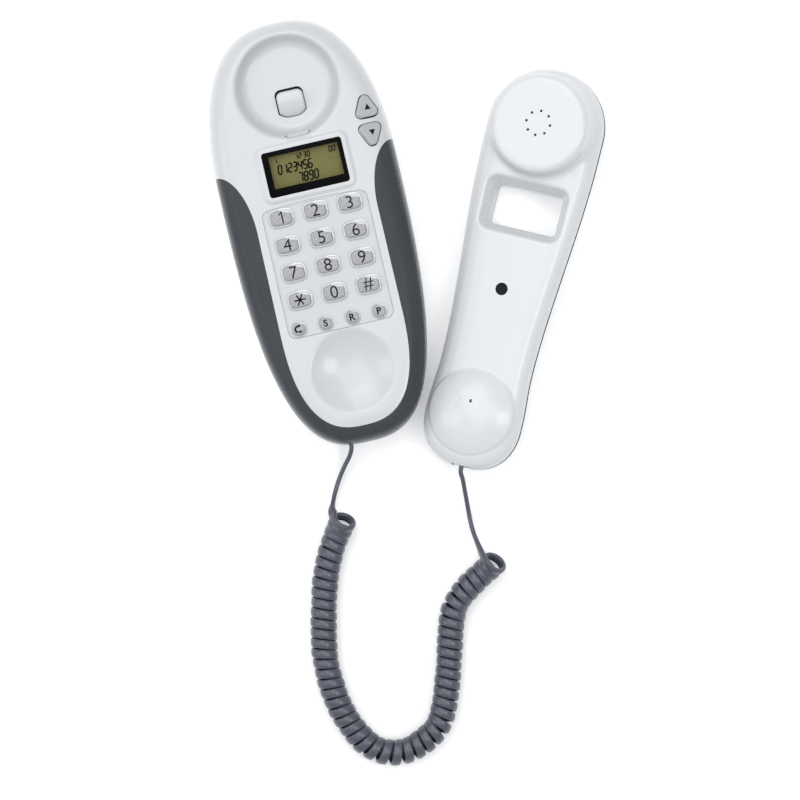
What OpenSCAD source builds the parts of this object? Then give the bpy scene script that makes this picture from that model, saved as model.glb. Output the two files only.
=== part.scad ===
// Slimline corded wall telephone: base, lifted handset and coiled handset cord.
// Millimetres. The base lies on its back at z = 0, top end towards +Y, front towards +Z.
// The origin is the centre of the base's back face.

/* [Base] */
// Length of the base, top end to bottom end
base_l = 210.5; // [208:0.5:216]
// Greatest width of the base
base_w = 89.4; // [88.6:0.2:94]
// Height of the front face above the back face
base_h = 34; // [33.5:0.5:38]
// Height of the seam between the back cover and the top cover
seam_h = 12; // [12:0.1:12.6]
// Wall of the top cover
wall = 2.4; // [2.2:0.1:2.6]

/* [Cradle] */
// Radius of the earpiece cup at its rim
cup_r = 25.2; // [24.6:0.1:26]
// Depth of the earpiece cup
cup_depth = 8; // [7.6:0.1:8.2]
// Distance of the earpiece cup from the base's centre
cup_y = 72; // [71:0.5:73]
// Radius of the mouthpiece dish
dish_r = 20.5; // [19:0.5:21.5]
// Depth of the mouthpiece dish
dish_depth = 5.5; // [4.8:0.1:5.8]

/* [Keys] */
// Width of a number key
key_w = 12.3; // [11.6:0.1:13]
// Length of a number key
key_l = 9.1; // [8.5:0.1:9.8]
// Distance between the columns of number keys
key_step_x = 17; // [16.4:0.1:17.2]
// Distance between the rows of number keys
key_step_y = 13.6; // [13.2:0.1:13.7]
// Height of the keys above the keypad panel
key_rise = 2.4; // [1.6:0.1:3]
// Diameter of a round function key
round_key_d = 7.8; // [7:0.1:8]
// Width of an arrow key
arrow_key_w = 10.2; // [9:0.1:10.4]
// Length of an arrow key
arrow_key_l = 10.6; // [10:0.1:11.2]

/* [Display] */
// Width of the display lens
lens_w = 39.6; // [39:0.1:40.4]
// Length of the display lens
lens_l = 22; // [21.4:0.1:22.4]
// Height of the soft border round the display
border_rise = 0.8; // [0.4:0.1:1.2]

/* [Handset] */
// Length of the handset
handset_l = 200.5; // [198:0.5:204]
// Radius of the handset's round top end
ear_end_r = 29.2; // [28.6:0.1:30]
// Half width of the handset at its waist
waist_r = 23.1; // [22.6:0.1:24]
// Radius of the ear pod's face
pod_r = 21.4; // [20.8:0.1:22]
// Height of the ear pod above the handset's front
pod_rise = 10; // [8:0.5:10.5]
// Radius of the mouthpiece dome
dome_r = 21; // [20:0.5:21.5]
// Height of the mouthpiece dome above the handset's front
dome_rise = 6.6; // [5.5:0.1:7]
// Width of the window through the handset
window_w = 35.4; // [34:0.1:36]
// Length of the window through the handset
window_l = 19.9; // [19:0.1:20.4]
// Angle that the lifted handset is turned by
handset_turn = -27; // [-29:0.5:-25]
// Angle that the lifted handset leans to its left
handset_lean = 14; // [12:0.5:15]

/* [Cord] */
// Outer diameter of the curly cord
coil_d = 13.2; // [12.6:0.1:13.4]
// Diameter of the straight leads
lead_d = 2.6; // [2.2:0.1:2.8]

/* [Hidden] */
$fn = 64;

white = [0.90, 0.91, 0.93];
film_white = [0.88, 0.90, 0.93];
dark_grey = [0.26, 0.28, 0.31];
key_grey = [0.74, 0.76, 0.78];
arrow_grey = [0.70, 0.70, 0.71];
silicone_grey = [0.80, 0.82, 0.83];
lens_black = [0.05, 0.06, 0.08, 0.8];
lcd_olive = [0.48, 0.46, 0.24];
board_green = [0.12, 0.35, 0.20];
black = [0.12, 0.12, 0.13];
socket_black = [0.2, 0.2, 0.22];
cord_grey = [0.29, 0.30, 0.35];
metal = [0.72, 0.73, 0.75];

// Base outline: two halves of a superellipse that meet at the widest line.
outline_n = 48;
widest_y = 25;
top_reach = base_l * 0.38;
bottom_reach = base_l - top_reach;
base_points = [
    for (i = [0:outline_n - 1])
        let (t = 360 * i / outline_n - 90, up = sin(t) > 0, e = up ? 2.5 : 2.85)
            [
                base_w / 2 * signed_power(cos(t), 2 / e),
                widest_y + (up ? top_reach : bottom_reach) * signed_power(sin(t), 2 / e)
            ]
];

// Top cover's rounded edge: [inset from the outline, height, lean of the surface's normal].
crown = [
    [0, seam_h, 0],
    [0.5, base_h - 14, 6],
    [1.5, base_h - 8, 18],
    [3.5, base_h - 3.9, 40],
    [6.8, base_h - 1.4, 62],
    [11, base_h - 0.35, 80],
    [16, base_h, 90]
];

trim_sink = 0.4;
trim_t = 1.1;
trim_gap = 0.12;
lip_in = 2.8;
lip_t = 1;
seam_gap = 0.4;
floor_t = 2.2;
boss_r = 3.5;

// Reach of cutting shapes above the front face.
clear_over = 5;

cup_floor = base_h - cup_depth;
cup_skin = 2.2;
cup_rim = 2.2;
cup_corner = 3;
dish_y = -70;
dish_ball = (pow(dish_r, 2) + pow(dish_depth, 2)) / (2 * dish_depth);

// Tongue of white top cover between the arms of the side trim.
tongue_x = 30.2;
tongue_y = -45;
tongue_reach = 52;
flare_y = 5;
flare_x = 14.8;
flare_reach = 31;

panel_w = 52.4;
panel_low = -49;
panel_high = 15.8;
panel_t = 0.7;
panel_z = base_h - 0.8;
key_top = base_h - 0.1 + key_rise;
flange_z = base_h - wall - 1.3;
flange_t = 0.8;
key_gap = 0.35;
keys_y = 9.9;
round_keys_y = -44.6;
round_keys_x = -20.75;
round_key_step = 13.3;
up_key = [35.5, 54];
down_key = [35.2, 40];
arrow_slope = 20;

lens_y = 31.2;
lens_t = 1.4;
border_w = lens_w + 5;
border_l = lens_l + 4.7;

board_z = base_h - 11.4;
board_t = 1.6;
mat_z = board_z + board_t;
mat_t = 0.8;

// Hook lever and its pin.
hook_y = 57.5;
hook_z = base_h - 12.5;
hook_w = 13.1;
pin_r = 1;
hub_r = 2.1;
run_gap = 0.05;
rib_x = 7.6;
rib_t = 2;
hook_board_z = 9;

tab_w = 10.7;
tab_y = 48;
tab_t = 2;

screw_r = 1.45;
top_screws = [16, 93.5];
low_screws = [22, -86];
keyhole_step = 82.5;

socket_y = -101;
socket_z = 7.5;
nose_y = -102.6;
handset_socket_x = -9.2;
line_socket_x = 9.2;

// Handset outline and its rounded edges, in the handset's own frame.
handset_n = 9;
ear_y = handset_l / 2 - ear_end_r;
chin_r = 24.4;
chin_y = -handset_l / 2 + 24.5;
handset_seam = 11.4;
handset_h = 20.4;
handset_wall = 2;
handset_half = concat(
    [
        for (i = [0:handset_n - 1])
            let (t = 90 * i / handset_n)
                [chin_r * signed_power(sin(t), 0.87), chin_y - 24.5 * signed_power(cos(t), 0.87)]
    ],
    [for (y = [-74:16:70]) [side_reach(y), y]],
    [for (t = [10:10:80]) [ear_end_r * cos(t), ear_y + ear_end_r * sin(t)]]
);
handset_points = concat(
    handset_half,
    [[0, handset_l / 2]],
    [for (i = [len(handset_half) - 1:-1:1]) [-handset_half[i][0], handset_half[i][1]]]
);
front_edge = [
    [0, handset_seam, 0],
    [0.3, 14, 10],
    [1.2, 17, 28],
    [3, 19, 52],
    [5.6, 20.1, 72],
    [8.5, handset_h, 90]
];
back_edge = [
    [14, 0, -90],
    [10, 0.3, -82],
    [6, 1.3, -65],
    [3.2, 2.9, -47],
    [1.3, 5.2, -28],
    [0.3, 8.4, -10],
    [0, handset_seam - 0.3, 0]
];
handset_place = [86.6, -38.8, 4.1];
pod_y = 71.4;
pod_roll = 4;
pod_top = handset_h + pod_rise;
dome_y = -72.3;
dome_ball = (pow(dome_r, 2) + pow(dome_rise, 2)) / (2 * dome_rise);
dome_z = handset_h + dome_rise - dome_ball;
window_y = 29.8;
window_frame = 2;
window_corner = 2;
recess_depth = 7;
recess_w = 4.7;
plug_y = -10.8;
screw_hole_r = 1.5;
stopper_r = 3;
jack_y = -100;
jack_z = 11;
microphone_y = -67.5;
microphone_r = 4.8;
cord_plug_w = 7.6;
cord_plug_h = 6.2;

coil_r = coil_d / 2;
coil_route = [
    [-22, -139, 6.7], [-26, -146, 6.7], [-31, -154, 6.7], [-36, -165, 6.7],
    [-39.5, -177, 6.7], [-42.5, -190, 6.7], [-45, -204, 6.7], [-45, -218, 6.7],
    [-43, -231, 6.7], [-39, -242, 6.7], [-34, -250.5, 6.7], [-27, -256, 6.7],
    [-17.5, -258, 6.7], [-8, -255.5, 6.7], [1, -250, 6.7], [6.5, -241, 6.7],
    [11, -229, 6.7], [15, -216, 6.7], [18.5, -204, 6.7], [22.5, -194.5, 6.7],
    [29, -188, 6.7], [37, -182.5, 6.7], [44.5, -178, 6.7], [48.5, -175.5, 6.7]
];
base_lead_route = [
    [-9.2, -103.62, 7.5], [-9.2, -106.4, 7.45], [-11.1, -110.4, 6.6], [-14.7, -114.4, 5],
    [-18.5, -119.8, 3.6], [-22, -125.4, 3.4], [-24.4, -130.6, 4.2], [-24.8, -134, 5.4],
    [-24.2, -136.4, 6.2]
];
handset_lead_route = [
    [41.72, -127.1, 15.11], [40.36, -129.77, 15.05], [39.6, -134.2, 12.6], [39.2, -139.4, 9],
    [39, -145, 5.8], [39.2, -151, 4], [39.6, -157, 3.6], [40.4, -163, 4.4],
    [41.6, -168, 6], [42.9, -171.4, 7]
];

function signed_power(v, e) = sign(v) * pow(abs(v), e);

function ease(v) = let (c = min(1, max(0, v))) c * c * (3 - 2 * c);

// Half width of the handset's long sides: wide at the ear, slim at the waist.
function side_reach(y) =
    waist_r + (ear_end_r - waist_r) * ease((y + 49) / 109)
    + (chin_r - waist_r) * ease((-49 - y) / 25);

function outward(p, i) =
    let (n = len(p), t = p[(i + 1) % n] - p[(i + n - 1) % n]) [t[1], -t[0]] / norm(t);

// An anticlockwise outline moved inwards by d along its own normals.
function inset(p, d) = [for (i = [0:len(p) - 1]) p[i] - d * outward(p, i)];

// The rings of an edge profile, t deeper in the material.
function under(edge, t) = [for (r = edge) [r[0] + t * cos(r[2]), r[1] - t * sin(r[2])]];

function superellipse(w, l, e, n) = [
    for (i = [0:n - 1])
        let (t = 360 * i / n)
            [w / 2 * signed_power(cos(t), 2 / e), l / 2 * signed_power(sin(t), 2 / e)]
];

function rounded_rect(w, l, r, n = 5) = [
    for (q = [0:3]) for (i = [0:n])
        let (
            t = 90 * q + 90 * i / n,
            sx = q == 0 || q == 3 ? 1 : -1,
            sy = q < 2 ? 1 : -1
        ) [sx * (w / 2 - r) + r * cos(t), sy * (l / 2 - r) + r * sin(t)]
];

// A triangle with round corners that points to +Y, and bows out a little along its base.
function rounded_triangle(w, l) = let (r = 2.3) [
    for (t = [-30:20:30]) [w / 2 - r, r - l / 2] + r * [cos(t - 20), sin(t - 20)],
    for (t = [40:25:140]) [0, l / 2 - r] + r * [cos(t), sin(t)],
    for (t = [190:20:250]) [r - w / 2, r - l / 2] + r * [cos(t - 20), sin(t - 20)],
    [-w / 5, -l / 2],
    [0, -l / 2 - 0.15],
    [w / 5, -l / 2],
    for (t = [-70:20:-50]) [w / 2 - r, r - l / 2] + r * [cos(t), sin(t)]
];

// Solid through rings of one outline, each inset by r[0] at height r[1].
module loft(outline, rings) {
    n = len(outline);
    m = len(rings);
    polyhedron(
        points = [for (r = rings) for (p = inset(outline, r[0])) [p[0], p[1], r[1]]],
        faces = concat(
            [[for (j = [0:n - 1]) j]],
            [
                for (i = [0:m - 2]) for (j = [0:n - 1]) for (half = [0, 1])
                    let (a = i * n + j, b = i * n + (j + 1) % n)
                        half == 0 ? [a, a + n, b + n] : [a, b + n, b]
            ],
            [concat([(m - 1) * n], [for (j = [n - 1:-1:1]) (m - 1) * n + j])]
        )
    );
}

// Round tube along a route, with a flat end at each end of it.
module sweep(route, r, sides) {
    m = len(route);
    points = [
        for (i = [0:m - 1])
            let (
                t = route[min(i + 1, m - 1)] - route[max(i - 1, 0)],
                side = cross(t, [0, 0, 1]) / norm(cross(t, [0, 0, 1])),
                up = cross(side, t) / norm(t)
            )
                for (k = [0:sides - 1])
                    let (a = 360 * k / sides) route[i] + r * cos(a) * side + r * sin(a) * up
    ];
    polyhedron(
        points = points,
        faces = concat(
            [[for (k = [sides - 1:-1:0]) k]],
            [
                for (i = [0:m - 2]) for (k = [0:sides - 1]) for (half = [0, 1])
                    let (a = i * sides + k, b = i * sides + (k + 1) % sides)
                        half == 0 ? [a, b + sides, a + sides] : [a, b, b + sides]
            ],
            [[for (k = [0:sides - 1]) (m - 1) * sides + k]]
        )
    );
}

// Box given by its low and high corners.
module block(low, high) {
    translate(low)
        cube(high - low);
}

module prism(points, low, high) {
    translate([0, 0, low])
        linear_extrude(high - low)
            polygon(points);
}

module rod(x, y, r, low, high) {
    translate([x, y, low])
        cylinder(r = r, h = high - low);
}

module both_sides() {
    children();
    mirror([1, 0, 0])
        children();
}

// Rings of the top cover, t deep, with a straight start below the seam to cut cleanly.
function crown_rings(t) = concat([[t, seam_h - 1]], under(crown, t));

// Plan area of the side trim: everything outside the white tongue and below the flares.
module trim_area(gap, low) {
    arm = [
        for (t = [90:-10:0])
            [base_w / 2 - (flare_x - gap) * cos(t), flare_y + (flare_reach - gap) * sin(t)]
    ];
    bend = [
        for (t = [0:-7.5:-90])
            [
                (tongue_x + gap) * signed_power(cos(t), 2 / 2.6),
                tongue_y + (tongue_reach + gap) * signed_power(sin(t), 2 / 2.6)
            ]
    ];
    half = concat([[80, flare_y + flare_reach - gap]], arm, bend);
    prism(
        concat(
            half,
            [for (i = [len(half) - 2:-1:0]) [-half[i][0], half[i][1]]],
            [[-80, -130], [80, -130]]
        ),
        low,
        base_h + 10
    );
}

// Hollow of the earpiece cup: flat floor, round corner, upright wall and rolled rim.
module cup_hollow() {
    wall_r = cup_r - cup_rim;
    translate([0, cup_y, 0])
        rotate_extrude()
            polygon(concat(
                [[0, cup_floor]],
                [
                    for (t = [-90:18:0])
                        [
                            wall_r - cup_corner + cup_corner * cos(t),
                            cup_floor + cup_corner + cup_corner * sin(t)
                        ]
                ],
                [
                    for (t = [180:-18:90])
                        [cup_r + cup_rim * cos(t), base_h - cup_rim + cup_rim * sin(t)]
                ],
                [[cup_r, base_h + clear_over], [0, base_h + clear_over]]
            ));
}

module dish_hollow() {
    translate([0, dish_y, base_h - dish_depth + dish_ball])
        sphere(r = dish_ball, $fn = 96);
}

// Plan area of the hook lever's head, bowed along its lower edge.
module hook_head_area(gap, low, high) {
    w = hook_w / 2 + gap;
    translate([0, hook_y, 0])
        prism(
            concat(
                [for (t = [-1:0.125:1]) [t * w, 0.1 - gap + 2.6 * pow(abs(t), 3)]],
                [for (t = [0:30:90]) [w - 3 + 3 * cos(t), 9.9 + gap + 3 * sin(t)]],
                [for (t = [90:30:180]) [3 - w + 3 * cos(t), 9.9 + gap + 3 * sin(t)]]
            ),
            low,
            high
        );
}

module key_holes() {
    for (row = [0:3]) for (column = [-1:1])
        translate([column * key_step_x, keys_y - row * key_step_y, 0])
            prism(inset(key_points, -key_gap), flange_z - 2, base_h + clear_over);
    for (i = [0:3])
        rod(round_keys_x + i * round_key_step, round_keys_y, round_key_d / 2 + key_gap,
            flange_z - 2, base_h + clear_over);
}

key_points = superellipse(key_w, key_l, 3.6, 32);
arrow_points = rounded_triangle(arrow_key_w, arrow_key_l);

module panel_area(gap, low, high) {
    w = panel_w / 2 - gap;
    r = 4;
    top = panel_high - gap;
    bottom = panel_low + gap;
    prism(
        concat(
            [for (t = [180:15:270]) [r - w + r * cos(t), bottom + r + r * sin(t)]],
            [for (t = [270:15:360]) [w - r + r * cos(t), bottom + r + r * sin(t)]],
            [for (t = [0:15:75]) [w - r + r * cos(t), top - 0.9 - r + r * sin(t)]],
            [for (t = [0.8:-0.2:-0.8]) [t * w, top - 0.9 * pow(t / 0.8, 2)]],
            [for (t = [105:15:165]) [r - w + r * cos(t), top - 0.9 - r + r * sin(t)]]
        ),
        low,
        high
    );
}

module case_bosses(r, low, high) {
    for (at = [top_screws, low_screws])
        both_sides()
            rod(at[0], at[1], r, low, high);
}

module pin_cut(r, reach) {
    translate([-reach, hook_y, hook_z])
        rotate([0, 90, 0])
            cylinder(r = r, h = 2 * reach);
}

module top_cover_inside() {
    difference() {
        loft(base_points, crown_rings(wall));
        rod(0, cup_y, cup_r - cup_rim + cup_skin, cup_floor - cup_skin, base_h);
        rod(0, dish_y, dish_r - 1.5, base_h - dish_depth - cup_skin, base_h);
        case_bosses(boss_r, seam_h, base_h);
        block([-8, tab_y - 3.6, base_h - 12], [8, tab_y + 3.6, base_h]);
        both_sides()
            block([rib_x, hook_y - 3.5, hook_z - 3], [rib_x + rib_t, hook_y + 3.5, cup_floor]);
    }
}

module top_cover() {
    color(white)
        difference() {
            union() {
                loft(base_points, under(crown, 0));
                translate([0, lens_y, 0])
                    prism(rounded_rect(border_w, border_l, 3.5), base_h - 1, base_h + border_rise);
            }
            top_cover_inside();
            cup_hollow();
            dish_hollow();
            hook_head_area(0.45, cup_floor - 5, base_h);
            block([-7, hook_y + 12, cup_floor - 5], [7, hook_y + 14.7, base_h]);
            block([-tab_w / 2 - 0.25, tab_y - 1.25, base_h - 14],
                  [tab_w / 2 + 0.25, tab_y + 1.25, base_h + clear_over]);
            translate([0, lens_y, 0])
                prism(rounded_rect(lens_w + 0.3, lens_l + 0.3, 1.6),
                      base_h + border_rise - lens_t - 0.2, base_h + clear_over);
            translate([0.3, lens_y + 0.5, 0])
                prism(rounded_rect(36, 17.8, 1), flange_z - 2, base_h + clear_over);
            panel_area(0, panel_z, base_h + clear_over);
            key_holes();
            translate(up_key)
                prism(inset(arrow_points, -key_gap), base_h - 12, base_h + clear_over);
            translate(down_key)
                rotate(180)
                    prism(inset(arrow_points, -key_gap), base_h - 12, base_h + clear_over);
            difference() {
                trim_area(0, seam_h - 0.5);
                loft(base_points, crown_rings(trim_t + trim_sink + 0.1));
            }
            case_bosses(screw_r, seam_h - 1, seam_h + 10);
            pin_cut(pin_r, rib_x + rib_t + 1);
        }
}

// Dark inlay round the lower flanks of the top cover, sunk a little below the white face.
module side_trim() {
    color(dark_grey)
        difference() {
            intersection() {
                loft(base_points, under(crown, trim_sink));
                trim_area(trim_gap, seam_h + 0.2);
            }
            loft(base_points, crown_rings(trim_t + trim_sink));
        }
}

module socket_holes() {
    block([handset_socket_x - 5.1, -120, socket_z - 4.1],
          [handset_socket_x + 5.1, socket_y + 5, socket_z + 4.1]);
    block([line_socket_x - 6.1, -120, socket_z - 4.1],
          [line_socket_x + 6.1, socket_y + 5, socket_z + 4.1]);
}

module back_cover() {
    rim = seam_h - seam_gap;
    color(white)
        difference() {
            union() {
                loft(base_points, [[3.4, 0], [1.5, 0.9], [0.6, 3], [0.3, 6], [0.3, rim]]);
                loft(base_points, [[lip_in, 5], [lip_in, seam_h + 2]]);
            }
            difference() {
                loft(base_points, [[lip_in + lip_t, floor_t], [lip_in + lip_t, seam_h + 3]]);
                case_bosses(boss_r, 0, seam_h - 0.2);
                for (y = [38, -46])
                    both_sides()
                        rod(22, y, 2.5, 0, board_z);
                for (y = [61, 81])
                    both_sides()
                        rod(12, y, 2.2, 0, hook_board_z);
            }
            socket_holes();
            case_bosses(screw_r + 0.15, -1, seam_h + 1);
            case_bosses(3.2, -1, 6);
            for (y = [-keyhole_step / 2, keyhole_step / 2]) {
                rod(0, y, 4.5, -1, floor_t + 1);
                rod(0, y + 9, 2.3, -1, floor_t + 1);
                block([-2.3, y, -1], [2.3, y + 9, floor_t + 1]);
            }
        }
}

module keypad_panel() {
    color(film_white)
        difference() {
            panel_area(0.12, panel_z, panel_z + panel_t);
            key_holes();
        }
}

module display_lens() {
    color(lens_black)
        translate([0, lens_y, base_h + border_rise - lens_t - 0.2])
            linear_extrude(lens_t)
                polygon(rounded_rect(lens_w, lens_l, 1.5));
}

module lcd_module() {
    top = base_h - wall - 0.3;
    color(lcd_olive)
        union() {
            block([-19, 20.6, mat_z + 0.1], [19, 42.6, mat_z + 3]);
            block([-17.4, 23.8, mat_z + 3], [18, 40.4, top]);
        }
}

module keypad_mat() {
    color(silicone_grey)
        union() {
            block([-25, -50, mat_z], [25, 16, mat_z + mat_t]);
            block([22.5, 12, mat_z], [27, 40, mat_z + mat_t]);
            block([24, 35, mat_z], [38.3, 58.6, mat_z + mat_t]);
            for (row = [0:3]) for (column = [-1:1])
                translate([column * key_step_x, keys_y - row * key_step_y, mat_z + mat_t])
                    cylinder(r1 = 4.2, r2 = 2.8, h = 2.5);
            for (i = [0:3])
                translate([round_keys_x + i * round_key_step, round_keys_y, mat_z + mat_t])
                    cylinder(r1 = 3.6, r2 = 2.4, h = 2.5);
            for (at = [up_key, down_key])
                translate([at[0], at[1], mat_z + mat_t])
                    cylinder(r1 = 3, r2 = 2.2, h = 0.9);
        }
}

module main_board() {
    color(board_green)
        union() {
            block([-27, -52, board_z], [27, 43.6, mat_z]);
            block([24, 34, board_z], [38.5, 59, mat_z]);
        }
}

module switch_board() {
    color(board_green)
        block([-15, 58, hook_board_z], [15, 84, hook_board_z + board_t]);
}

module hook_switch() {
    low = hook_board_z + board_t;
    color(black)
        union() {
            block([0.6, 61, low], [6.4, 74, low + 5]);
            rod(3.5, 68.5, 1, low + 4, low + 5.7);
        }
}

module hook_pin() {
    color(metal)
        pin_cut(pin_r, rib_x + rib_t);
}

// The spring's windings as one sleeve of the same size.
module hook_spring() {
    low = hook_board_z + board_t;
    color(metal)
        difference() {
            rod(-3.2, 66, 2.5, low, hook_z - 2.1);
            rod(-3.2, 66, 1.9, low - 1, hook_z);
        }
}

module hook_lever() {
    color(white)
        difference() {
            union() {
                intersection() {
                    hook_head_area(0, hook_z - 2, base_h);
                    translate([-20, hook_y, hook_z])
                        rotate([90, 0, 90])
                            linear_extrude(40)
                                polygon([
                                    [-2, -2], [13.5, -2], [13.5, 7], [12.6, 7.9], [10, 8.5],
                                    [7, 8.4], [3.5, 7.2], [1, 5.6], [-2, 3.6]
                                ]);
                }
                pin_cut(hub_r, hook_w / 2 - 0.2);
            }
            pin_cut(pin_r + run_gap, hook_w);
        }
}

// Small tongue that catches the handset when the phone hangs on a wall. It pulls out.
module hanger_tab() {
    foot = base_h - 19;
    color(white)
        union() {
            block([-tab_w / 2, tab_y - tab_t / 2, foot],
                  [tab_w / 2, tab_y + tab_t / 2, base_h - 0.6]);
            block([-tab_w / 2, tab_y - 2, foot], [tab_w / 2, tab_y + 2, foot + 1.5]);
        }
}

module ringer() {
    color(metal)
        rod(0, -68, 12, floor_t, floor_t + 4);
}

// Modular socket in the bottom end: a body, a nose in the wall and the plug's cavity.
module socket(x, cavity_w) {
    nose = cavity_w / 2 + 0.9;
    body = cavity_w / 2 + 2;
    difference() {
        union() {
            block([x - body, socket_y + 3.2, floor_t + 0.1], [x + body, socket_y + 15, seam_h - 0.2]);
            block([x - nose, nose_y, socket_z - 3.9], [x + nose, socket_y + 4, socket_z + 3.9]);
        }
        block([x - cavity_w / 2, nose_y - 1, socket_z - 3.3],
              [x + cavity_w / 2, socket_y + 11, socket_z + 3.3]);
    }
}

module handset_socket() {
    color(socket_black)
        socket(handset_socket_x, 8);
}

module line_socket() {
    color(socket_black)
        socket(line_socket_x, 10);
}

module case_screws() {
    color(metal)
        union() {
            case_bosses(screw_r, 3.5, seam_h + 9);
            case_bosses(2.9, 3.6, 6);
        }
}

// Body, flange and stem of a number key, with a thin step round its top face.
module number_key(column, row) {
    color(key_grey)
        translate([column * key_step_x, keys_y - row * key_step_y, 0])
            union() {
                prism(inset(key_points, -0.9), flange_z, flange_z + flange_t);
                prism(key_points, flange_z, key_top - 0.5);
                prism(inset(key_points, 0.5), flange_z, key_top);
                rod(0, 0, 2.8, flange_z - 1.2, flange_z + 1);
            }
}

module round_key(i) {
    color(key_grey)
        translate([round_keys_x + i * round_key_step, round_keys_y, 0])
            union() {
                rod(0, 0, round_key_d / 2 + 0.9, flange_z, flange_z + flange_t);
                rod(0, 0, round_key_d / 2, flange_z, key_top - 1);
                rod(0, 0, round_key_d / 2 - 0.4, flange_z, key_top - 0.7);
                rod(0, 0, 2, flange_z - 1.2, flange_z + 1);
            }
}

// Arrow key whose face leans outwards with the cover, with a lug that holds it in.
module arrow_key(at, turn) {
    color(arrow_grey)
        union() {
            intersection() {
                translate(at)
                    rotate(turn)
                        prism(arrow_points, base_h - 6.3, base_h + 4);
                translate([at[0], at[1], base_h - 0.1])
                    rotate([0, arrow_slope, 0])
                        block([-20, -20, -20], [20, 20, 0]);
            }
            block([at[0] - arrow_key_w / 2 - 1.6, at[1] - 2, base_h - 6.3],
                  [at[0], at[1] + 2, base_h - 5.1]);
        }
}

module on_handset() {
    translate(handset_place)
        rotate(handset_turn)
            translate([0, 0, handset_seam])
                rotate([0, -handset_lean, 0])
                    translate([0, 0, -handset_seam])
                        children();
}

module ear_pod(grow, top) {
    translate([0, pod_y, 0])
        rotate_extrude()
            polygon(concat(
                [
                    [0, 16],
                    [pod_r + 3.4 + grow, 16],
                    [pod_r + 3.4 + grow, handset_h - 1],
                    [pod_r + 2.5 + grow, handset_h + 0.6],
                    [pod_r + 1.7 + grow, handset_h + 2.6]
                ],
                [
                    for (t = [12:13:90])
                        [pod_r - 2.8 + grow + pod_roll * cos(t), top - pod_roll * (1 - sin(t))]
                ],
                [[0, top]]
            ));
}

module mouth_dome(drop) {
    intersection() {
        translate([0, dome_y, dome_z])
            sphere(r = dome_ball - drop, $fn = 96);
        rod(0, dome_y, dome_r + 0.4 - drop, 15, 40);
    }
}

module window_area(gap, low, high) {
    translate([0, window_y, 0])
        prism(rounded_rect(window_w + 2 * gap, window_l + 2 * gap, window_corner + gap),
              low, high);
}

module jack_cut(gap) {
    block([-4.6 - gap, -120, jack_z - 4 - gap], [4.6 + gap, jack_y + 6, jack_z + 4 + gap]);
}

module handset_front() {
    color(white)
        on_handset()
            difference() {
                union() {
                    loft(handset_points, under(front_edge, 0));
                    ear_pod(0, pod_top);
                    mouth_dome(0);
                }
                difference() {
                    loft(handset_points,
                         concat([[handset_wall, handset_seam - 1]], under(front_edge, handset_wall)));
                    window_area(recess_w + 0.7, 0, 40);
                    rod(0, plug_y, 5.2, 0, 40);
                }
                difference() {
                    intersection() {
                        ear_pod(-2, pod_top - 1.8);
                        block([-50, 20, handset_seam + 4], [50, 99, 40]);
                    }
                    window_area(recess_w + 0.7, 0, 40);
                }
                intersection() {
                    mouth_dome(handset_wall);
                    block([-50, -99, handset_seam + 4], [50, 20, 40]);
                }
                block([-60, -120, 0], [60, 120, handset_seam]);
                window_area(0, 0, 40);
                translate([0, window_y, 0])
                    loft(rounded_rect(window_w, window_l, window_corner),
                         [[0, handset_h - recess_depth], [-recess_w, handset_h + 0.1],
                          [-recess_w - 0.2, handset_h + 2]]);
                for (a = [0:45:315])
                    rod(6 * cos(a), pod_y + 6 * sin(a), 0.68, pod_top - 5, pod_top + 5);
                rod(0, microphone_y, 0.88, 20, 40);
                rod(0, plug_y, stopper_r + 0.1, handset_h - 4.2, 40);
                rod(0, plug_y, screw_hole_r, 0, 40);
                jack_cut(0.2);
            }
}

module handset_back() {
    color(white)
        on_handset()
            difference() {
                loft(handset_points, under(back_edge, 0));
                difference() {
                    loft(handset_points,
                         concat(under(back_edge, handset_wall), [[handset_wall, handset_seam + 1]]));
                    window_area(window_frame, -1, 40);
                    rod(0, plug_y, 3.4, -1, handset_seam - 0.3);
                    block([-9, -96, -1], [9, -80, 4.8]);
                }
                window_area(0, -5, 40);
                rod(0, plug_y, 1.2, 3.5, 40);
                jack_cut(0.2);
            }
}

module receiver() {
    color(black)
        on_handset()
            union() {
                rod(0, pod_y, 17, pod_top - 7, pod_top - 2);
                rod(0, pod_y, 9, pod_top - 11, pod_top - 6);
            }
}

module microphone() {
    color(metal)
        on_handset()
            rod(0, microphone_y, microphone_r, handset_h - 2.5, handset_h + 2.4);
}

module microphone_boot() {
    color(black)
        on_handset()
            difference() {
                rod(0, microphone_y, microphone_r + 1.4, handset_h - 4, handset_h + 2.4);
                rod(0, microphone_y, microphone_r, handset_h - 2.5, handset_h + 5);
            }
}

module ballast_weight() {
    color(metal)
        on_handset()
            block([-14, -58, 2.6], [14, -22, 8]);
}

module handset_jack() {
    color(socket_black)
        on_handset()
            difference() {
                block([-6, jack_y + 6.2, jack_z - 5.8], [6, jack_y + 19, jack_z + 5]);
                block([-3.9, jack_y, jack_z - 3.3], [3.9, jack_y + 16.5, jack_z + 3.3]);
            }
}

module handset_screw() {
    color(metal)
        on_handset()
            union() {
                rod(0, plug_y, 1.2, 5, handset_h - 4.2);
                rod(0, plug_y, 2.7, handset_h - 4.2, handset_h - 2.2);
            }
}

// Black stopper over the handset's screw.
module screw_cover() {
    color(black)
        on_handset()
            rod(0, plug_y, stopper_r, handset_h - 2, handset_h - 0.3);
}

module base_plug() {
    color(cord_grey)
        block([handset_socket_x - cord_plug_w / 2, nose_y - 1, socket_z - cord_plug_h / 2],
              [handset_socket_x + cord_plug_w / 2, socket_y + 9, socket_z + cord_plug_h / 2]);
}

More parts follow.
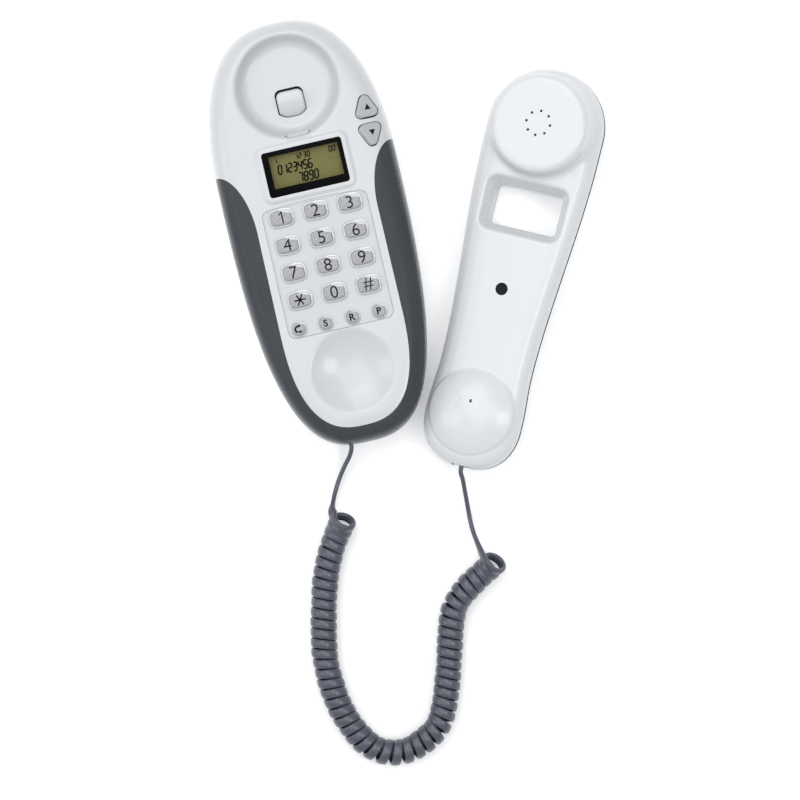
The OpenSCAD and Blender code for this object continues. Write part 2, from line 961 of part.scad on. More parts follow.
module handset_plug() {
    color(cord_grey)
        on_handset()
            block([-cord_plug_w / 2, jack_y + 1, jack_z - cord_plug_h / 2],
                  [cord_plug_w / 2, jack_y + 15, jack_z + cord_plug_h / 2]);
}

module base_lead() {
    color(cord_grey)
        sweep(base_lead_route, lead_d / 2, 8);
}

module handset_lead() {
    color(cord_grey)
        sweep(handset_lead_route, lead_d / 2, 8);
}

// The curly cord as one tube of its outer diameter.
module cord_coil() {
    color(cord_grey)
        sweep(coil_route, coil_r, 12);
}

back_cover();
top_cover();
side_trim();
keypad_panel();
display_lens();
lcd_module();
keypad_mat();
main_board();
switch_board();
hook_switch();
hook_pin();
hook_spring();
ringer();
handset_socket();
line_socket();
case_screws();
hook_lever();
hanger_tab();
number_key(-1, 0);  // key_1
number_key(0, 0);  // key_2
number_key(1, 0);  // key_3
number_key(-1, 1);  // key_4
number_key(0, 1);  // key_5
number_key(1, 1);  // key_6
number_key(-1, 2);  // key_7
number_key(0, 2);  // key_8
number_key(1, 2);  // key_9
number_key(-1, 3);  // key_star
number_key(0, 3);  // key_0
number_key(1, 3);  // key_hash
round_key(0);  // key_talk
round_key(1);  // key_store
round_key(2);  // key_redial
round_key(3);  // key_program
arrow_key(up_key, 0);  // key_up
arrow_key(down_key, 180);  // key_down
handset_front();
handset_back();
receiver();
microphone();
microphone_boot();
ballast_weight();
handset_jack();
handset_screw();
screw_cover();
base_plug();
base_lead();
cord_coil();
handset_lead();
handset_plug();
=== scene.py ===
import math

import bpy
import numpy as np
from mathutils import Matrix, Vector


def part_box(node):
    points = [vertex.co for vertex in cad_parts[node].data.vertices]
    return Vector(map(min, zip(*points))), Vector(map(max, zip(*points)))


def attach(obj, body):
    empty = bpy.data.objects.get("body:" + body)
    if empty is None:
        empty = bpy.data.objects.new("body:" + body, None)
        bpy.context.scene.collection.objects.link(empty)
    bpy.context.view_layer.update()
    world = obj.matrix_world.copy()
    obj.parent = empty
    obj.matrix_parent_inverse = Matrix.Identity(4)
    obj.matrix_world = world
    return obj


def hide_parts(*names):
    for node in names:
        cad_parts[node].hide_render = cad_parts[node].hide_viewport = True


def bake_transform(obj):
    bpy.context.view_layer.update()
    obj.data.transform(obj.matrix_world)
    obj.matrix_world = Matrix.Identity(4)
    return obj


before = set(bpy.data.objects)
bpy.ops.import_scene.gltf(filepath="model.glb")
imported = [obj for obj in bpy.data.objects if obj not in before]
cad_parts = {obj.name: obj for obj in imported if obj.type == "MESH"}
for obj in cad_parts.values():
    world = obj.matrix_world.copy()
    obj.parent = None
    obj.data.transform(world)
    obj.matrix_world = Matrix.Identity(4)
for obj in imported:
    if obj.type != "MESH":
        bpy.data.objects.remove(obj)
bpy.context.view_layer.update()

scene = bpy.context.scene
MM = 0.001


# -------- small helpers

def power(v, e):
    return np.sign(v) * np.abs(v) ** e


def smooth_max(a, b, k):
    h = np.maximum(k - np.abs(a - b), 0) / k
    return np.maximum(a, b) + h * h * k / 4


def smooth_min(a, b, k):
    return -smooth_max(-a, -b, k)


def link(name, mesh, material):
    piece = bpy.data.objects.new(name, mesh)
    scene.collection.objects.link(piece)
    if material:
        mesh.materials.clear()
        mesh.materials.append(material)
    return piece


def mesh_piece(name, points, faces, material):
    """A mesh object from points in millimetres. A tool that only cuts has no material."""
    mesh = bpy.data.meshes.new(name)
    mesh.from_pydata((np.asarray(points, float) * MM).tolist(), [], faces)
    mesh.validate()
    return link(name, mesh, material)


def smooth(piece, angle):
    mesh = piece.data
    mesh.polygons.foreach_set("use_smooth", [True] * len(mesh.polygons))
    mesh.set_sharp_from_angle(angle=math.radians(angle))
    return piece


def values_of(items, attribute, width=3, kind=float):
    out = np.empty(len(items) * width, kind)
    items.foreach_get(attribute, out)
    return out.reshape(-1, width) if width > 1 else out


def gradient(field, x, y, z, h):
    return np.stack([field(x + h, y, z) - field(x - h, y, z), field(x, y + h, z) - field(x, y - h, z),
                     field(x, y, z + h) - field(x, y, z - h)], 1) / (2 * h)


def shaded(piece, field):
    """Smooth shading, with exact normals where a corner lies on the field's surface."""
    smooth(piece, 35)
    mesh = piece.data
    x, y, z = values_of(mesh.vertices, "co").T / MM
    g = gradient(field, x, y, z, 0.06)
    size = np.linalg.norm(g, axis=1)
    exact = (np.abs(field(x, y, z)) < 0.3) & (size > 0.5)
    g /= np.maximum(size, 0.01)[:, None]
    at = values_of(mesh.loops, "vertex_index", 1, int)
    sides = values_of(mesh.polygons, "loop_total", 1, int)
    facing = (np.repeat(values_of(mesh.polygons, "normal"), sides, 0) * g[at]).sum(1)
    corner = values_of(mesh.corner_normals, "vector")
    mesh.normals_split_custom_set(np.where((exact[at] & (facing > 0.6))[:, None], g[at], corner).tolist())


def baked(piece):
    """Applies the piece's modifiers."""
    bpy.context.view_layer.update()
    done = bpy.data.meshes.new_from_object(piece.evaluated_get(bpy.context.evaluated_depsgraph_get()))
    piece.modifiers.clear()
    piece.data = done
    return piece


def cut(piece, *tools, how="DIFFERENCE"):
    for tool in tools:
        step = piece.modifiers.new("cut", "BOOLEAN")
        step.operation = how
        step.object = tool
        step.solver = "MANIFOLD"
    baked(piece)
    for tool in tools:
        bpy.data.objects.remove(tool)
    return piece


def bevelled(piece, width, segments):
    step = piece.modifiers.new("bevel", "BEVEL")
    step.width = width * MM
    step.segments = segments
    step.limit_method = "ANGLE"
    step.angle_limit = math.radians(35)
    return baked(piece)


def place(piece, matrix):
    piece.data.transform(matrix)
    return piece


def shift(x, y, z):
    return Matrix.Translation((x * MM, y * MM, z * MM))


def stands_for(piece, node, body):
    """The piece takes that CAD node's place and moves with that body."""
    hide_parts(node)
    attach(piece, body)


# -------- places on the CAD model, in millimetres

BASE_LOW, BASE_HIGH = (-46, -107, 8.2), (46, 107, 36.5)    # box round the base's upper surface
HALF_W, WIDEST_Y, UPPER_REACH, LOWER_REACH = 44.7, 25, 79.99, 130.51
CUP_Y, CUP_R, CUP_FLOOR = 72, 21.4, 26                     # radius at the floor
DISH_Y, DISH_Z, DISH_R = -70, 69.45, 40.95                 # the dish is part of this sphere
DISPLAY_Y, DISPLAY_FLOOR = 31.2, 33.2
HOOK_Y, HOOK_Z = 57.5, 21.5                                # the lever's pin
SCREWS = [(side * x, y) for x, y in ((16, 93.5), (22, -86)) for side in (-1, 1)]
KEYHOLE_Y = 41.25
PRINT_T = 0.04
# The rest is in the handset's own frame, in which it lies flat along Y.
SEAM_Z = 11.4
EAR_END_R, EAR_END_Y, SLIMMEST_Y = 29.2, 71.05, -49
EAR_Y, MOUTH_Y, STOPPER_Y = 71.4, -72.3, -10.8
POD_R, POD_TOP = 24.0, 30.4
DOME_R, DOME_Z, DOME_EDGE = 36.71, -9.71, 21.2             # the mouth's dome is part of this sphere
WINDOW_W, WINDOW_L, WINDOW_CORNER, WINDOW_Y = 35.4, 19.9, 2, 29.8


# -------- outlines, in millimetres

def base_outline(n):
    """Two half superellipses that meet at the base's widest place."""
    t = np.radians(360 * np.arange(n) / n - 90)
    up = np.sin(t) > 0
    e = np.where(up, 2.5, 2.85)
    reach = np.where(up, UPPER_REACH, LOWER_REACH)
    return np.stack([HALF_W * power(np.cos(t), 2 / e), WIDEST_Y + reach * power(np.sin(t), 2 / e)], 1)


def ease(v):
    c = np.clip(v, 0, 1)
    return c * c * (3 - 2 * c)


def handset_outline():
    """Round ear end, slim middle and a slightly squared chin."""
    t = np.radians(np.arange(0, 90, 2.0))
    chin = np.stack([24.4 * power(np.sin(t), 0.87), -75.75 - 24.5 * power(np.cos(t), 0.87)], 1)
    top = np.stack([EAR_END_R * np.cos(t), EAR_END_Y + EAR_END_R * np.sin(t)], 1)
    y = np.arange(-74.5, 71, 1.5)
    reach = 23.1 + 6.1 * ease((y - SLIMMEST_Y) / 109) + 1.3 * ease((SLIMMEST_Y - y) / 25)
    half = np.concatenate([chin, np.stack([reach, y], 1), top])
    other = half[:0:-1] * [-1, 1]
    return np.concatenate([half, [[0, EAR_END_Y + EAR_END_R]], other])


def superellipse(w, l, e, n):
    t = np.radians(360 * np.arange(n) / n)
    return np.stack([w / 2 * power(np.cos(t), 2 / e), l / 2 * power(np.sin(t), 2 / e)], 1)


def rounded_rect(w, l, r, n=8):
    corners = []
    for q in range(4):
        t = np.radians(90 * q + 90 * np.arange(n + 1) / n)
        sx = 1 if q in (0, 3) else -1
        sy = 1 if q < 2 else -1
        corners.append(np.stack([sx * (w / 2 - r) + r * np.cos(t), sy * (l / 2 - r) + r * np.sin(t)], 1))
    return np.concatenate(corners)


def circle(r, n, x=0.0, y=0.0):
    t = np.radians(360 * np.arange(n) / n)
    return np.stack([x + r * np.cos(t), y + r * np.sin(t)], 1)


def normals(points):
    t = np.roll(points, -1, 0) - np.roll(points, 1, 0)
    return np.stack([t[:, 1], -t[:, 0]], 1) / np.linalg.norm(t, axis=1)[:, None]


def inset(points, d):
    return points - d * normals(points)


def ring_spline(rings, steps):
    """Finer rings [inset, height] through [inset, height, lean], smooth at every ring."""
    out = []
    for a, b in zip(rings[:-1], rings[1:]):
        p, q = np.array(a[:2], float), np.array(b[:2], float)
        size = np.linalg.norm(q - p)
        u = np.array([math.sin(math.radians(a[2])), math.cos(math.radians(a[2]))]) * size
        v = np.array([math.sin(math.radians(b[2])), math.cos(math.radians(b[2]))]) * size
        for i in range(steps):
            s = i / steps
            out.append((2 * s**3 - 3 * s**2 + 1) * p + (s**3 - 2 * s**2 + s) * u
                       + (3 * s**2 - 2 * s**3) * q + (s**3 - s**2) * v)
    out.append(np.array(rings[-1][:2], float))
    return np.array(out)


# -------- solids from outlines

def through(name, rings, material):
    """Closed solid through rings of as many points each, anticlockwise from above, lowest first."""
    n = len(rings[0])
    faces = [list(range(n))[::-1]]
    for i in range(len(rings) - 1):
        for j in range(n):
            k = (j + 1) % n
            faces.append([i * n + j, i * n + k, (i + 1) * n + k, (i + 1) * n + j])
    faces.append([(len(rings) - 1) * n + j for j in range(n)])
    return mesh_piece(name, np.concatenate(rings), faces, material)


def raised(points, z):
    return np.concatenate([points, np.full((len(points), 1), z)], 1)


def loft(name, outline, rings, material=None):
    """Closed solid through rings [inset, height] of one anticlockwise outline, lowest first."""
    return through(name, [raised(inset(outline, depth), z) for depth, z in rings], material)


def prism(name, outline, low, high, material=None):
    return loft(name, np.asarray(outline, float), [[0, low], [0, high]], material)


def lathe(name, profile, x, y, n, material=None):
    """Closed solid turned from a profile of [radius, height], lowest first."""
    return through(name, [raised(circle(max(r, 0.001), n, x, y), z) for r, z in profile], material)


def block(low, high):
    outline = [[low[0], low[1]], [high[0], low[1]], [high[0], high[1]], [low[0], high[1]]]
    return prism("tool", outline, low[2], high[2])


def joined(name, pieces, material=None):
    """One mesh from several, each left whole."""
    points, faces = [], []
    for piece in pieces:
        start = len(points)
        points += [v.co / MM for v in piece.data.vertices]
        faces += [[start + v for v in p.vertices] for p in piece.data.polygons]
        bpy.data.objects.remove(piece)
    return mesh_piece(name, points, faces, material)


# -------- smooth shells from distance fields

def polygon_distance(points, u, v, open_from=None):
    """Signed distance to a polygon, positive inside. Sides from open_from on don't count as border."""
    a, b = points, np.roll(points, -1, 0)
    side = b - a
    keep = slice(None) if open_from is None else slice(0, open_from)
    flat_u, flat_v = u.ravel(), v.ravel()
    out = np.empty(len(flat_u))
    for i in range(0, len(flat_u), 4000):
        p = np.stack([flat_u[i:i + 4000], flat_v[i:i + 4000]], 1)[:, None]
        pa = p - a
        across = (a[:, 1] > p[..., 1]) != (b[:, 1] > p[..., 1])
        drop = np.where(side[:, 1] == 0, 1, side[:, 1])
        hit = across & (pa[..., 0] < side[:, 0] * pa[..., 1] / drop)
        inside = hit.sum(1) % 2 == 1
        h = np.clip((pa * side).sum(2) / (side * side).sum(1), 0, 1)
        gap = np.linalg.norm(pa - side * h[..., None], axis=2)[:, keep].min(1)
        out[i:i + 4000] = np.where(inside, gap, -gap)
    return out.reshape(u.shape)


class Table:
    """A function of two numbers, sampled on a grid and read back with smooth cubic interpolation."""

    def __init__(self, low, high, step, sample):
        self.low, self.step = low, step
        n = [int(math.ceil((high[i] - low[i]) / step)) + 1 for i in (0, 1)]
        u = low[0] + step * np.arange(n[0])[:, None]
        v = low[1] + step * np.arange(n[1])[None, :]
        self.values = sample(*np.broadcast_arrays(u, v))

    def __call__(self, u, v):
        cells, weights = [], []
        for i, w in enumerate((u, v)):
            top = self.values.shape[i] - 3
            g = np.clip((w - self.low[i]) / self.step, 1, top + 0.999)
            cell = np.floor(g).astype(int)
            f = g - cell
            cells.append(cell)
            weights.append([
                -0.5 * f + f**2 - 0.5 * f**3, 1 - 2.5 * f**2 + 1.5 * f**3,
                0.5 * f + 2 * f**2 - 1.5 * f**3, -0.5 * f**2 + 0.5 * f**3])
        out = 0
        for i in range(4):
            for j in range(4):
                out = out + self.values[cells[0] + i - 1, cells[1] + j - 1] * weights[0][i] * weights[1][j]
        return out


def edge_table(rings, high_z, deepest):
    """Signed distance, negative inside, to a rounded edge, by inset and height."""
    line = ring_spline(rings, 10)
    border = np.concatenate([[[line[0][0], -38]], line, [[deepest + 40, line[-1][1]]]])
    closed = np.concatenate([border, [[deepest + 40, -38]]])
    return Table((-10, 2), (deepest, high_z), 0.4,
                 lambda d, z: -polygon_distance(closed, d, z, len(border) - 1))


def skin(name, open_field, low, high, step, material=None):
    """Closed mesh of the surface where the field is 0: a net of quads, pulled onto it."""
    def field(x, y, z):
        return np.maximum(open_field(x, y, z), low[2] + 1.2 - z)

    n = [int(math.ceil((high[i] - low[i]) / step)) + 1 for i in range(3)]
    ax = [low[i] + step * np.arange(n[i]) for i in range(3)]
    values = field(ax[0][:, None, None], ax[1][None, :, None], ax[2][None, None, :])
    values = np.broadcast_to(values, n)
    inside = values < 0
    cells = [m - 1 for m in n]
    count = np.zeros(cells)
    total = np.zeros(cells + [3])
    crossings = []
    for axis in range(3):
        first = [slice(None)] * 3
        second = [slice(None)] * 3
        first[axis], second[axis] = slice(0, -1), slice(1, None)
        at = np.argwhere(inside[tuple(first)] != inside[tuple(second)])
        after = at.copy()
        after[:, axis] += 1
        f0, f1 = values[tuple(at.T)], values[tuple(after.T)]
        p = at.astype(float)
        p[:, axis] += f0 / (f0 - f1)
        others = [i for i in range(3) if i != axis]
        ok = np.all([(at[:, i] >= 1) & (at[:, i] <= n[i] - 2) for i in others], 0)
        at, p, rising = at[ok], p[ok], f0[ok] < 0
        corners = []
        for da, db in ((-1, -1), (0, -1), (0, 0), (-1, 0)):
            c = at.copy()
            c[:, others[0]] += da
            c[:, others[1]] += db
            corners.append(c)
            np.add.at(count, tuple(c.T), 1)
            np.add.at(total, tuple(c.T), p)
        crossings.append((axis, corners, rising))
    used = count > 0
    index = np.full(cells, -1)
    index[used] = np.arange(used.sum())
    points = total[used] / count[used][:, None] * step + np.array(low)
    faces = []
    for axis, corners, rising in crossings:
        quads = np.stack([index[tuple(c.T)] for c in corners], 1)
        if axis == 1:
            rising = ~rising
        faces.append(np.where(rising[:, None], quads, quads[:, ::-1]))
    faces = np.concatenate(faces)
    for _ in range(4):
        x, y, z = points.T
        f = field(x, y, z)
        g = gradient(field, x, y, z, 0.04)
        size = np.maximum((g * g).sum(1), 0.2)
        points = points - np.clip(f / size, -0.4 * step, 0.4 * step)[:, None] * g
    return mesh_piece(name, points, faces.tolist(), material)


# -------- materials

def noise(tree, scale):
    node = tree.nodes.new("ShaderNodeTexNoise")
    node.inputs["Scale"].default_value = scale
    node.inputs["Detail"].default_value = 2
    place_in = tree.nodes.get("Texture Coordinate") or tree.nodes.new("ShaderNodeTexCoord")
    tree.links.new(place_in.outputs["Object"], node.inputs["Vector"])
    return node


def spread(tree, source, low, high):
    """Stretches the middle of a noise over the range from low to high."""
    node = tree.nodes.new("ShaderNodeMapRange")
    node.inputs["From Min"].default_value = 0.3
    node.inputs["From Max"].default_value = 0.7
    node.inputs["To Min"].default_value = low
    node.inputs["To Max"].default_value = high
    tree.links.new(source, node.inputs["Value"])
    return node.outputs["Result"]


def plastic(name, colour, rough, grain, grain_scale, tone, coat=0.0, level=0.5, metallic=0.0,
            clearness=0.0, film=0.0, painted_shade_slope=None, alpha=1.0):
    """Moulded plastic, rubber or metal: fine moulding grain, faint tone changes, uneven gloss.

    grain is in millimetres, tone is the share by which the colour varies, film is how far light goes
    into the skin, and painted_shade_slope turns the colour's change into painted light and shade: one slope
    at that angle in degrees, darker towards one side.
    """
    material = bpy.data.materials.new(name)
    material.use_nodes = True
    tree = material.node_tree
    shader = tree.nodes["Principled BSDF"]
    shader.inputs["Metallic"].default_value = metallic
    shader.inputs["Specular IOR Level"].default_value = level
    shader.inputs["Coat Weight"].default_value = coat
    shader.inputs["Coat Roughness"].default_value = 0.08
    shader.inputs["Transmission Weight"].default_value = clearness
    shader.inputs["Alpha"].default_value = alpha
    if film:
        shader.inputs["Subsurface Weight"].default_value = film
        shader.inputs["Subsurface Radius"].default_value = (0.002, 0.002, 0.002)
        shader.inputs["Subsurface Scale"].default_value = 1.0
    wide = noise(tree, 38)
    fine = noise(tree, grain_scale)
    patch = noise(tree, 90)
    ramp = tree.nodes.new("ShaderNodeValToRGB")
    c = np.array(colour)
    ramp.color_ramp.elements[0].position = 0.3
    ramp.color_ramp.elements[1].position = 0.7
    ramp.color_ramp.elements[0].color = (*np.clip(c * (1 - tone), 0, 1), 1)
    ramp.color_ramp.elements[1].color = (*np.clip(c * (1 + tone), 0, 1), 1)
    # Painted shade: the colour slopes from light to dark across the piece, as if lit from one side.
    if painted_shade_slope:
        tilt = tree.nodes.new("ShaderNodeMapping")
        tilt.inputs["Rotation"].default_value = (0, 0, -math.radians(painted_shade_slope))
        slope = tree.nodes.new("ShaderNodeTexGradient")
        ramp.color_ramp.elements[0].position = 0.95
        ramp.color_ramp.elements[1].position = 0.15
        tree.links.new(tree.nodes["Texture Coordinate"].outputs["Generated"], tilt.inputs["Vector"])
        tree.links.new(tilt.outputs["Vector"], slope.inputs["Vector"])
        tree.links.new(slope.outputs["Fac"], ramp.inputs["Fac"])
    else:
        tree.links.new(wide.outputs["Fac"], ramp.inputs["Fac"])
    tree.links.new(ramp.outputs["Color"], shader.inputs["Base Color"])
    tree.links.new(spread(tree, patch.outputs["Fac"], rough * 0.94, rough * 1.07), shader.inputs["Roughness"])
    bump = tree.nodes.new("ShaderNodeBump")
    bump.inputs["Strength"].default_value = 0.6
    bump.inputs["Distance"].default_value = grain * MM
    tree.links.new(fine.outputs["Fac"], bump.inputs["Height"])
    tree.links.new(bump.outputs["Normal"], shader.inputs["Normal"])
    return material


white = plastic("white_shell", (0.510, 0.525, 0.540), 0.26, 0.002, 1600, 0.006, coat=0.15)
# The handset's white is the base's white plastic, painted lighter for how the light falls on it.
handset_white_painted_lighter = plastic("handset_white_painted_lighter", (0.585, 0.598, 0.615), 0.28, 0.002, 1600, 0.006, coat=0.15)
dark = plastic("dark_trim", (0.048, 0.0545, 0.062), 0.27, 0.008, 1500, 0.06, level=0.08)
panel_white = plastic("panel", (0.475, 0.50, 0.522), 0.3, 0.006, 1200, 0.012, coat=0.15)
ink = plastic("ink", (0.004, 0.004, 0.005), 0.5, 0.01, 2200, 0.1, level=0.2)
# The key caps and the skirts carry painted shade: darker towards one corner, lighter towards the opposite
# one.
key_grey = plastic("key_caps", (0.43, 0.435, 0.45), 0.25, 0.02, 900, 0.30, coat=0.2, film=0.15, painted_shade_slope=62)
key_clear = plastic("key_skirts", (0.60, 0.61, 0.63), 0.18, 0.01, 1200, 0.12, coat=0.4, film=0.3, painted_shade_slope=40)
arrow_grey = plastic("arrow_keys", (0.37, 0.375, 0.39), 0.4, 0.03, 1300, 0.02)
# A near-black copy of the arrow keys' grey for their side walls: painted shade.
arrow_side_shade = plastic("arrow_key_sides_painted_shade", (0.055, 0.058, 0.062), 0.5, 0.03, 1300, 0.04)
black = plastic("black_plastic", (0.020, 0.021, 0.024), 0.34, 0.03, 1300, 0.1)
gloss_black = plastic("lens_border", (0.003, 0.003, 0.0035), 0.35, 0.004, 1500, 0.1, level=0.02)
rubber = plastic("black_rubber", (0.006, 0.007, 0.008), 0.55, 0.03, 1700, 0.12, level=0.12)
olive = plastic("lcd_glass", (0.175, 0.163, 0.060), 0.45, 0.004, 2600, 0.05, level=0.1)
segment_ink = plastic("lcd_segments", (0.004, 0.004, 0.003), 0.5, 0.004, 2600, 0.1, level=0.05)
silicone = plastic("silicone", (0.60, 0.62, 0.63), 0.6, 0.05, 700, 0.04, film=0.2)
board = plastic("board", (0.030, 0.120, 0.055), 0.35, 0.06, 420, 0.18, coat=0.3)
steel = plastic("steel", (0.58, 0.59, 0.61), 0.28, 0.02, 900, 0.05, metallic=1.0)
brass = plastic("brass", (0.70, 0.56, 0.30), 0.3, 0.02, 900, 0.06, metallic=1.0)
aluminium = plastic("aluminium", (0.66, 0.67, 0.69), 0.34, 0.03, 700, 0.05, metallic=1.0)
jacket = plastic("cord_jacket", (0.056, 0.063, 0.086), 0.33, 0.03, 1500, 0.08, coat=0.2)
clear = plastic("clear_plug", (0.45, 0.48, 0.51), 0.16, 0.01, 900, 0.03, coat=0.5, clearness=0.35)
pane = plastic("lens_pane", (0.02, 0.02, 0.02), 0.06, 0.001, 900, 0.01, level=0.02, alpha=0.04)


# -------- camera, lamps and floor

def face(position, right, up):
    back = Vector(right).cross(Vector(up))
    turn = Matrix((right, up, back)).transposed().to_4x4()
    return Matrix.Translation(position) @ turn


SENSOR_MM, CAMERA_AWAY_M, VIEW_WIDTH_M = 36, 2.0, 0.38835
camera_data = bpy.data.cameras.new("camera")
camera_data.sensor_width = SENSOR_MM
camera_data.lens = SENSOR_MM * CAMERA_AWAY_M / VIEW_WIDTH_M
camera = bpy.data.objects.new("camera", camera_data)
scene.collection.objects.link(camera)
camera.matrix_world = face((0.0193, -0.0891, 2.034), (0.97437, -0.22495, 0), (0.22495, 0.97437, 0))
scene.camera = camera

scene.view_settings.view_transform = "Standard"
scene.view_settings.look = "None"

LAMP_AIM = Vector((0.02, -0.08, 0))


def softbox(name, position, width, height, power_w):
    data = bpy.data.lights.new(name, "AREA")
    data.shape = "RECTANGLE"
    data.size, data.size_y = width, height
    data.energy = power_w
    lamp = bpy.data.objects.new(name, data)
    scene.collection.objects.link(lamp)
    lamp.location = position
    lamp.rotation_euler = (LAMP_AIM - Vector(position)).to_track_quat("-Z", "Y").to_euler()


softbox("overhead_light", (-0.15, 0.35, 2.5), 2.0, 2.0, 22.8)
softbox("key_light", (-0.25, 1.0, 1.35), 1.1, 0.8, 6)
softbox("left_light", (-1.5, 0.1, 1.1), 0.8, 1.2, 5.6)
softbox("right_light", (0.715, -0.40, 1.37), 0.5, 0.5, 4.1)
world = bpy.data.worlds.new("studio")
scene.world = world
world.use_nodes = True
world.node_tree.nodes["Background"].inputs["Color"].default_value = (0.97, 0.985, 1.0, 1)
world.node_tree.nodes["Background"].inputs["Strength"].default_value = 0.68

floor_material = plastic("studio_floor", (0.955, 0.955, 0.958), 0.6, 0.02, 400, 0.004, level=0.2)
glow = floor_material.node_tree.nodes["Principled BSDF"]
glow.inputs["Emission Color"].default_value = (1, 1, 1, 1)
glow.inputs["Emission Strength"].default_value = 0.12
floor = mesh_piece("floor", [[-2500, -2500, -0.02], [2500, -2500, -0.02], [2500, 2500, -0.02],
                             [-2500, 2500, -0.02]], [[0, 1, 2, 3]], floor_material)


# -------- handset cord

coil_route = np.array([
    [-21.1, -140.4], [-25.4, -146], [-30.4, -153.8], [-35.6, -165], [-39.3, -177], [-42.5, -190], [-45, -204],
    [-45, -218], [-43, -231], [-39, -242], [-34, -250.5], [-27, -256], [-17.5, -258], [-8, -255.5],
    [1, -250], [6.5, -241], [11, -229], [15, -216], [18.5, -204], [22.5, -194.5], [29, -188],
    [36, -183.4], [42, -180], [47, -177]])
base_lead_route = np.array([
    [-9.2, -102.4, 7.5], [-9.2, -106.4, 7.4], [-11.1, -110.4, 6.6], [-14.7, -114.8, 5.1],
    [-18.3, -119.8, 4], [-21.3, -124.8, 4.2], [-23.6, -129.6, 6.2], [-25.1, -134.2, 9.8],
    [-25.5, -138.2, 12.9], [-24.7, -141.4, 14.6]])
handset_lead_route = np.array([
    [42.29, -125.98, 15.11], [40.4, -129.73, 15.0], [40.5, -134.2, 12.8], [40.3, -139.6, 9.4],
    [40.1, -145.2, 6.2], [39.8, -151.5, 4.3], [39.7, -158, 4.4], [40.2, -164, 6.9], [41.2, -170, 10.4],
    [42.1, -174.6, 13.3], [43.2, -177, 14.8]])


def fine_line(points, step):
    """Even points along a smooth curve through the given ones."""
    p = np.concatenate([[2 * points[0] - points[1]], points, [2 * points[-1] - points[-2]]])
    dense = []
    for i in range(1, len(p) - 2):
        s = np.linspace(0, 1, 40, endpoint=False)[:, None]
        dense.append(0.5 * (2 * p[i] + (p[i + 1] - p[i - 1]) * s
                            + (2 * p[i - 1] - 5 * p[i] + 4 * p[i + 1] - p[i + 2]) * s**2
                            + (3 * p[i] - p[i - 1] - 3 * p[i + 1] + p[i + 2]) * s**3))
    dense = np.concatenate(dense + [points[-1:]])
    along = np.concatenate([[0], np.cumsum(np.linalg.norm(np.diff(dense, axis=0), axis=1))])
    at = np.linspace(0, along[-1], max(2, int(round(along[-1] / step))))
    return np.stack([np.interp(at, along, dense[:, k]) for k in range(points.shape[1])], 1)


COIL_Z = 6.95         # height of the coil's axis
WIND_R = 5.35         # from the coil's axis to the middle of the strip
STRIP_W = 4.5
STRIP_T = 2.3
PITCH = 4.95
TIGHT_PITCH = 4.25    # on the inside of a bend, where the turns touch
TURN_STEPS = 24
END_RISE = 9.0
TWIST_STEPS = 30      # steps over which a lead turns from upright to flat
AXIS_STEP = 0.25
LEAD_STEP = 0.9

flat_line = fine_line(coil_route, AXIS_STEP)
flat_along = AXIS_STEP * np.arange(len(flat_line))
# Both ends of the coil look up: its axis climbs over the last END_RISE millimetres.
from_end = np.minimum(flat_along, flat_along[-1] - flat_along)
climb = END_RISE / 2 * np.maximum(1 - from_end / END_RISE, 0)**2
axis_line = np.concatenate([flat_line, (COIL_Z + climb)[:, None]], 1)
axis_step = np.linalg.norm(np.diff(axis_line, axis=0), axis=1)
axis_along = np.concatenate([[0], np.cumsum(axis_step)])
axis_dir = np.gradient(axis_line, axis=0)
axis_dir /= np.linalg.norm(axis_dir, axis=1)[:, None]
bend = np.abs(np.gradient(np.unwrap(np.arctan2(axis_dir[:, 1], axis_dir[:, 0])), axis_along))
bend = np.convolve(np.pad(bend, 40, mode="edge"), np.ones(81) / 81, "valid")
# Turns touch on the inside of a bend and open on its outside.
pitch = np.maximum(PITCH, TIGHT_PITCH / (1 - np.minimum(bend * WIND_R, 0.5)))
phase = np.concatenate([[0], np.cumsum(360 * axis_step / ((pitch[1:] + pitch[:-1]) / 2))])
phase *= 360 * round(phase[-1] / 360) / phase[-1]
angles = np.arange(0, phase[-1] + 1, 360 / TURN_STEPS)
s = np.interp(angles, phase, axis_along)
centre = np.stack([np.interp(s, axis_along, axis_line[:, k]) for k in (0, 1, 2)], 1)
heading = np.stack([np.interp(s, axis_along, axis_dir[:, k]) for k in (0, 1, 2)], 1)
heading /= np.linalg.norm(heading, axis=1)[:, None]
left = np.stack([-heading[:, 1], heading[:, 0], 0 * s], 1)
left /= np.linalg.norm(left, axis=1)[:, None]
above = np.cross(heading, left)
rad = np.radians(angles)
wind_r = (WIND_R + 0.1 * np.sin(rad * 0.31) + 0.08 * np.sin(rad * 0.173 + 1))[:, None]
coil_points = centre + wind_r * (np.sin(rad)[:, None] * left + np.cos(rad)[:, None] * above)

start_lead = fine_line(np.concatenate([base_lead_route, coil_points[1:4]]), LEAD_STEP)
end_lead = fine_line(np.concatenate([coil_points[-4:-1], handset_lead_route[::-1]]), LEAD_STEP)
cord_path = np.concatenate([start_lead[:-1], coil_points[4:-4], end_lead[1:]])
upright = np.array([0, 0, 1.0])
n_start, n_end = len(start_lead) - 1, len(end_lead) - 1
twist_in = ease((np.arange(n_start) - (n_start - TWIST_STEPS)) / TWIST_STEPS)[:, None]
twist_out = ease((TWIST_STEPS - np.arange(n_end)) / TWIST_STEPS)[:, None]
cord_width = np.concatenate([
    (1 - twist_in) * upright + twist_in * heading[3],
    heading[4:-4],
    (1 - twist_out) * upright + twist_out * heading[-4]])


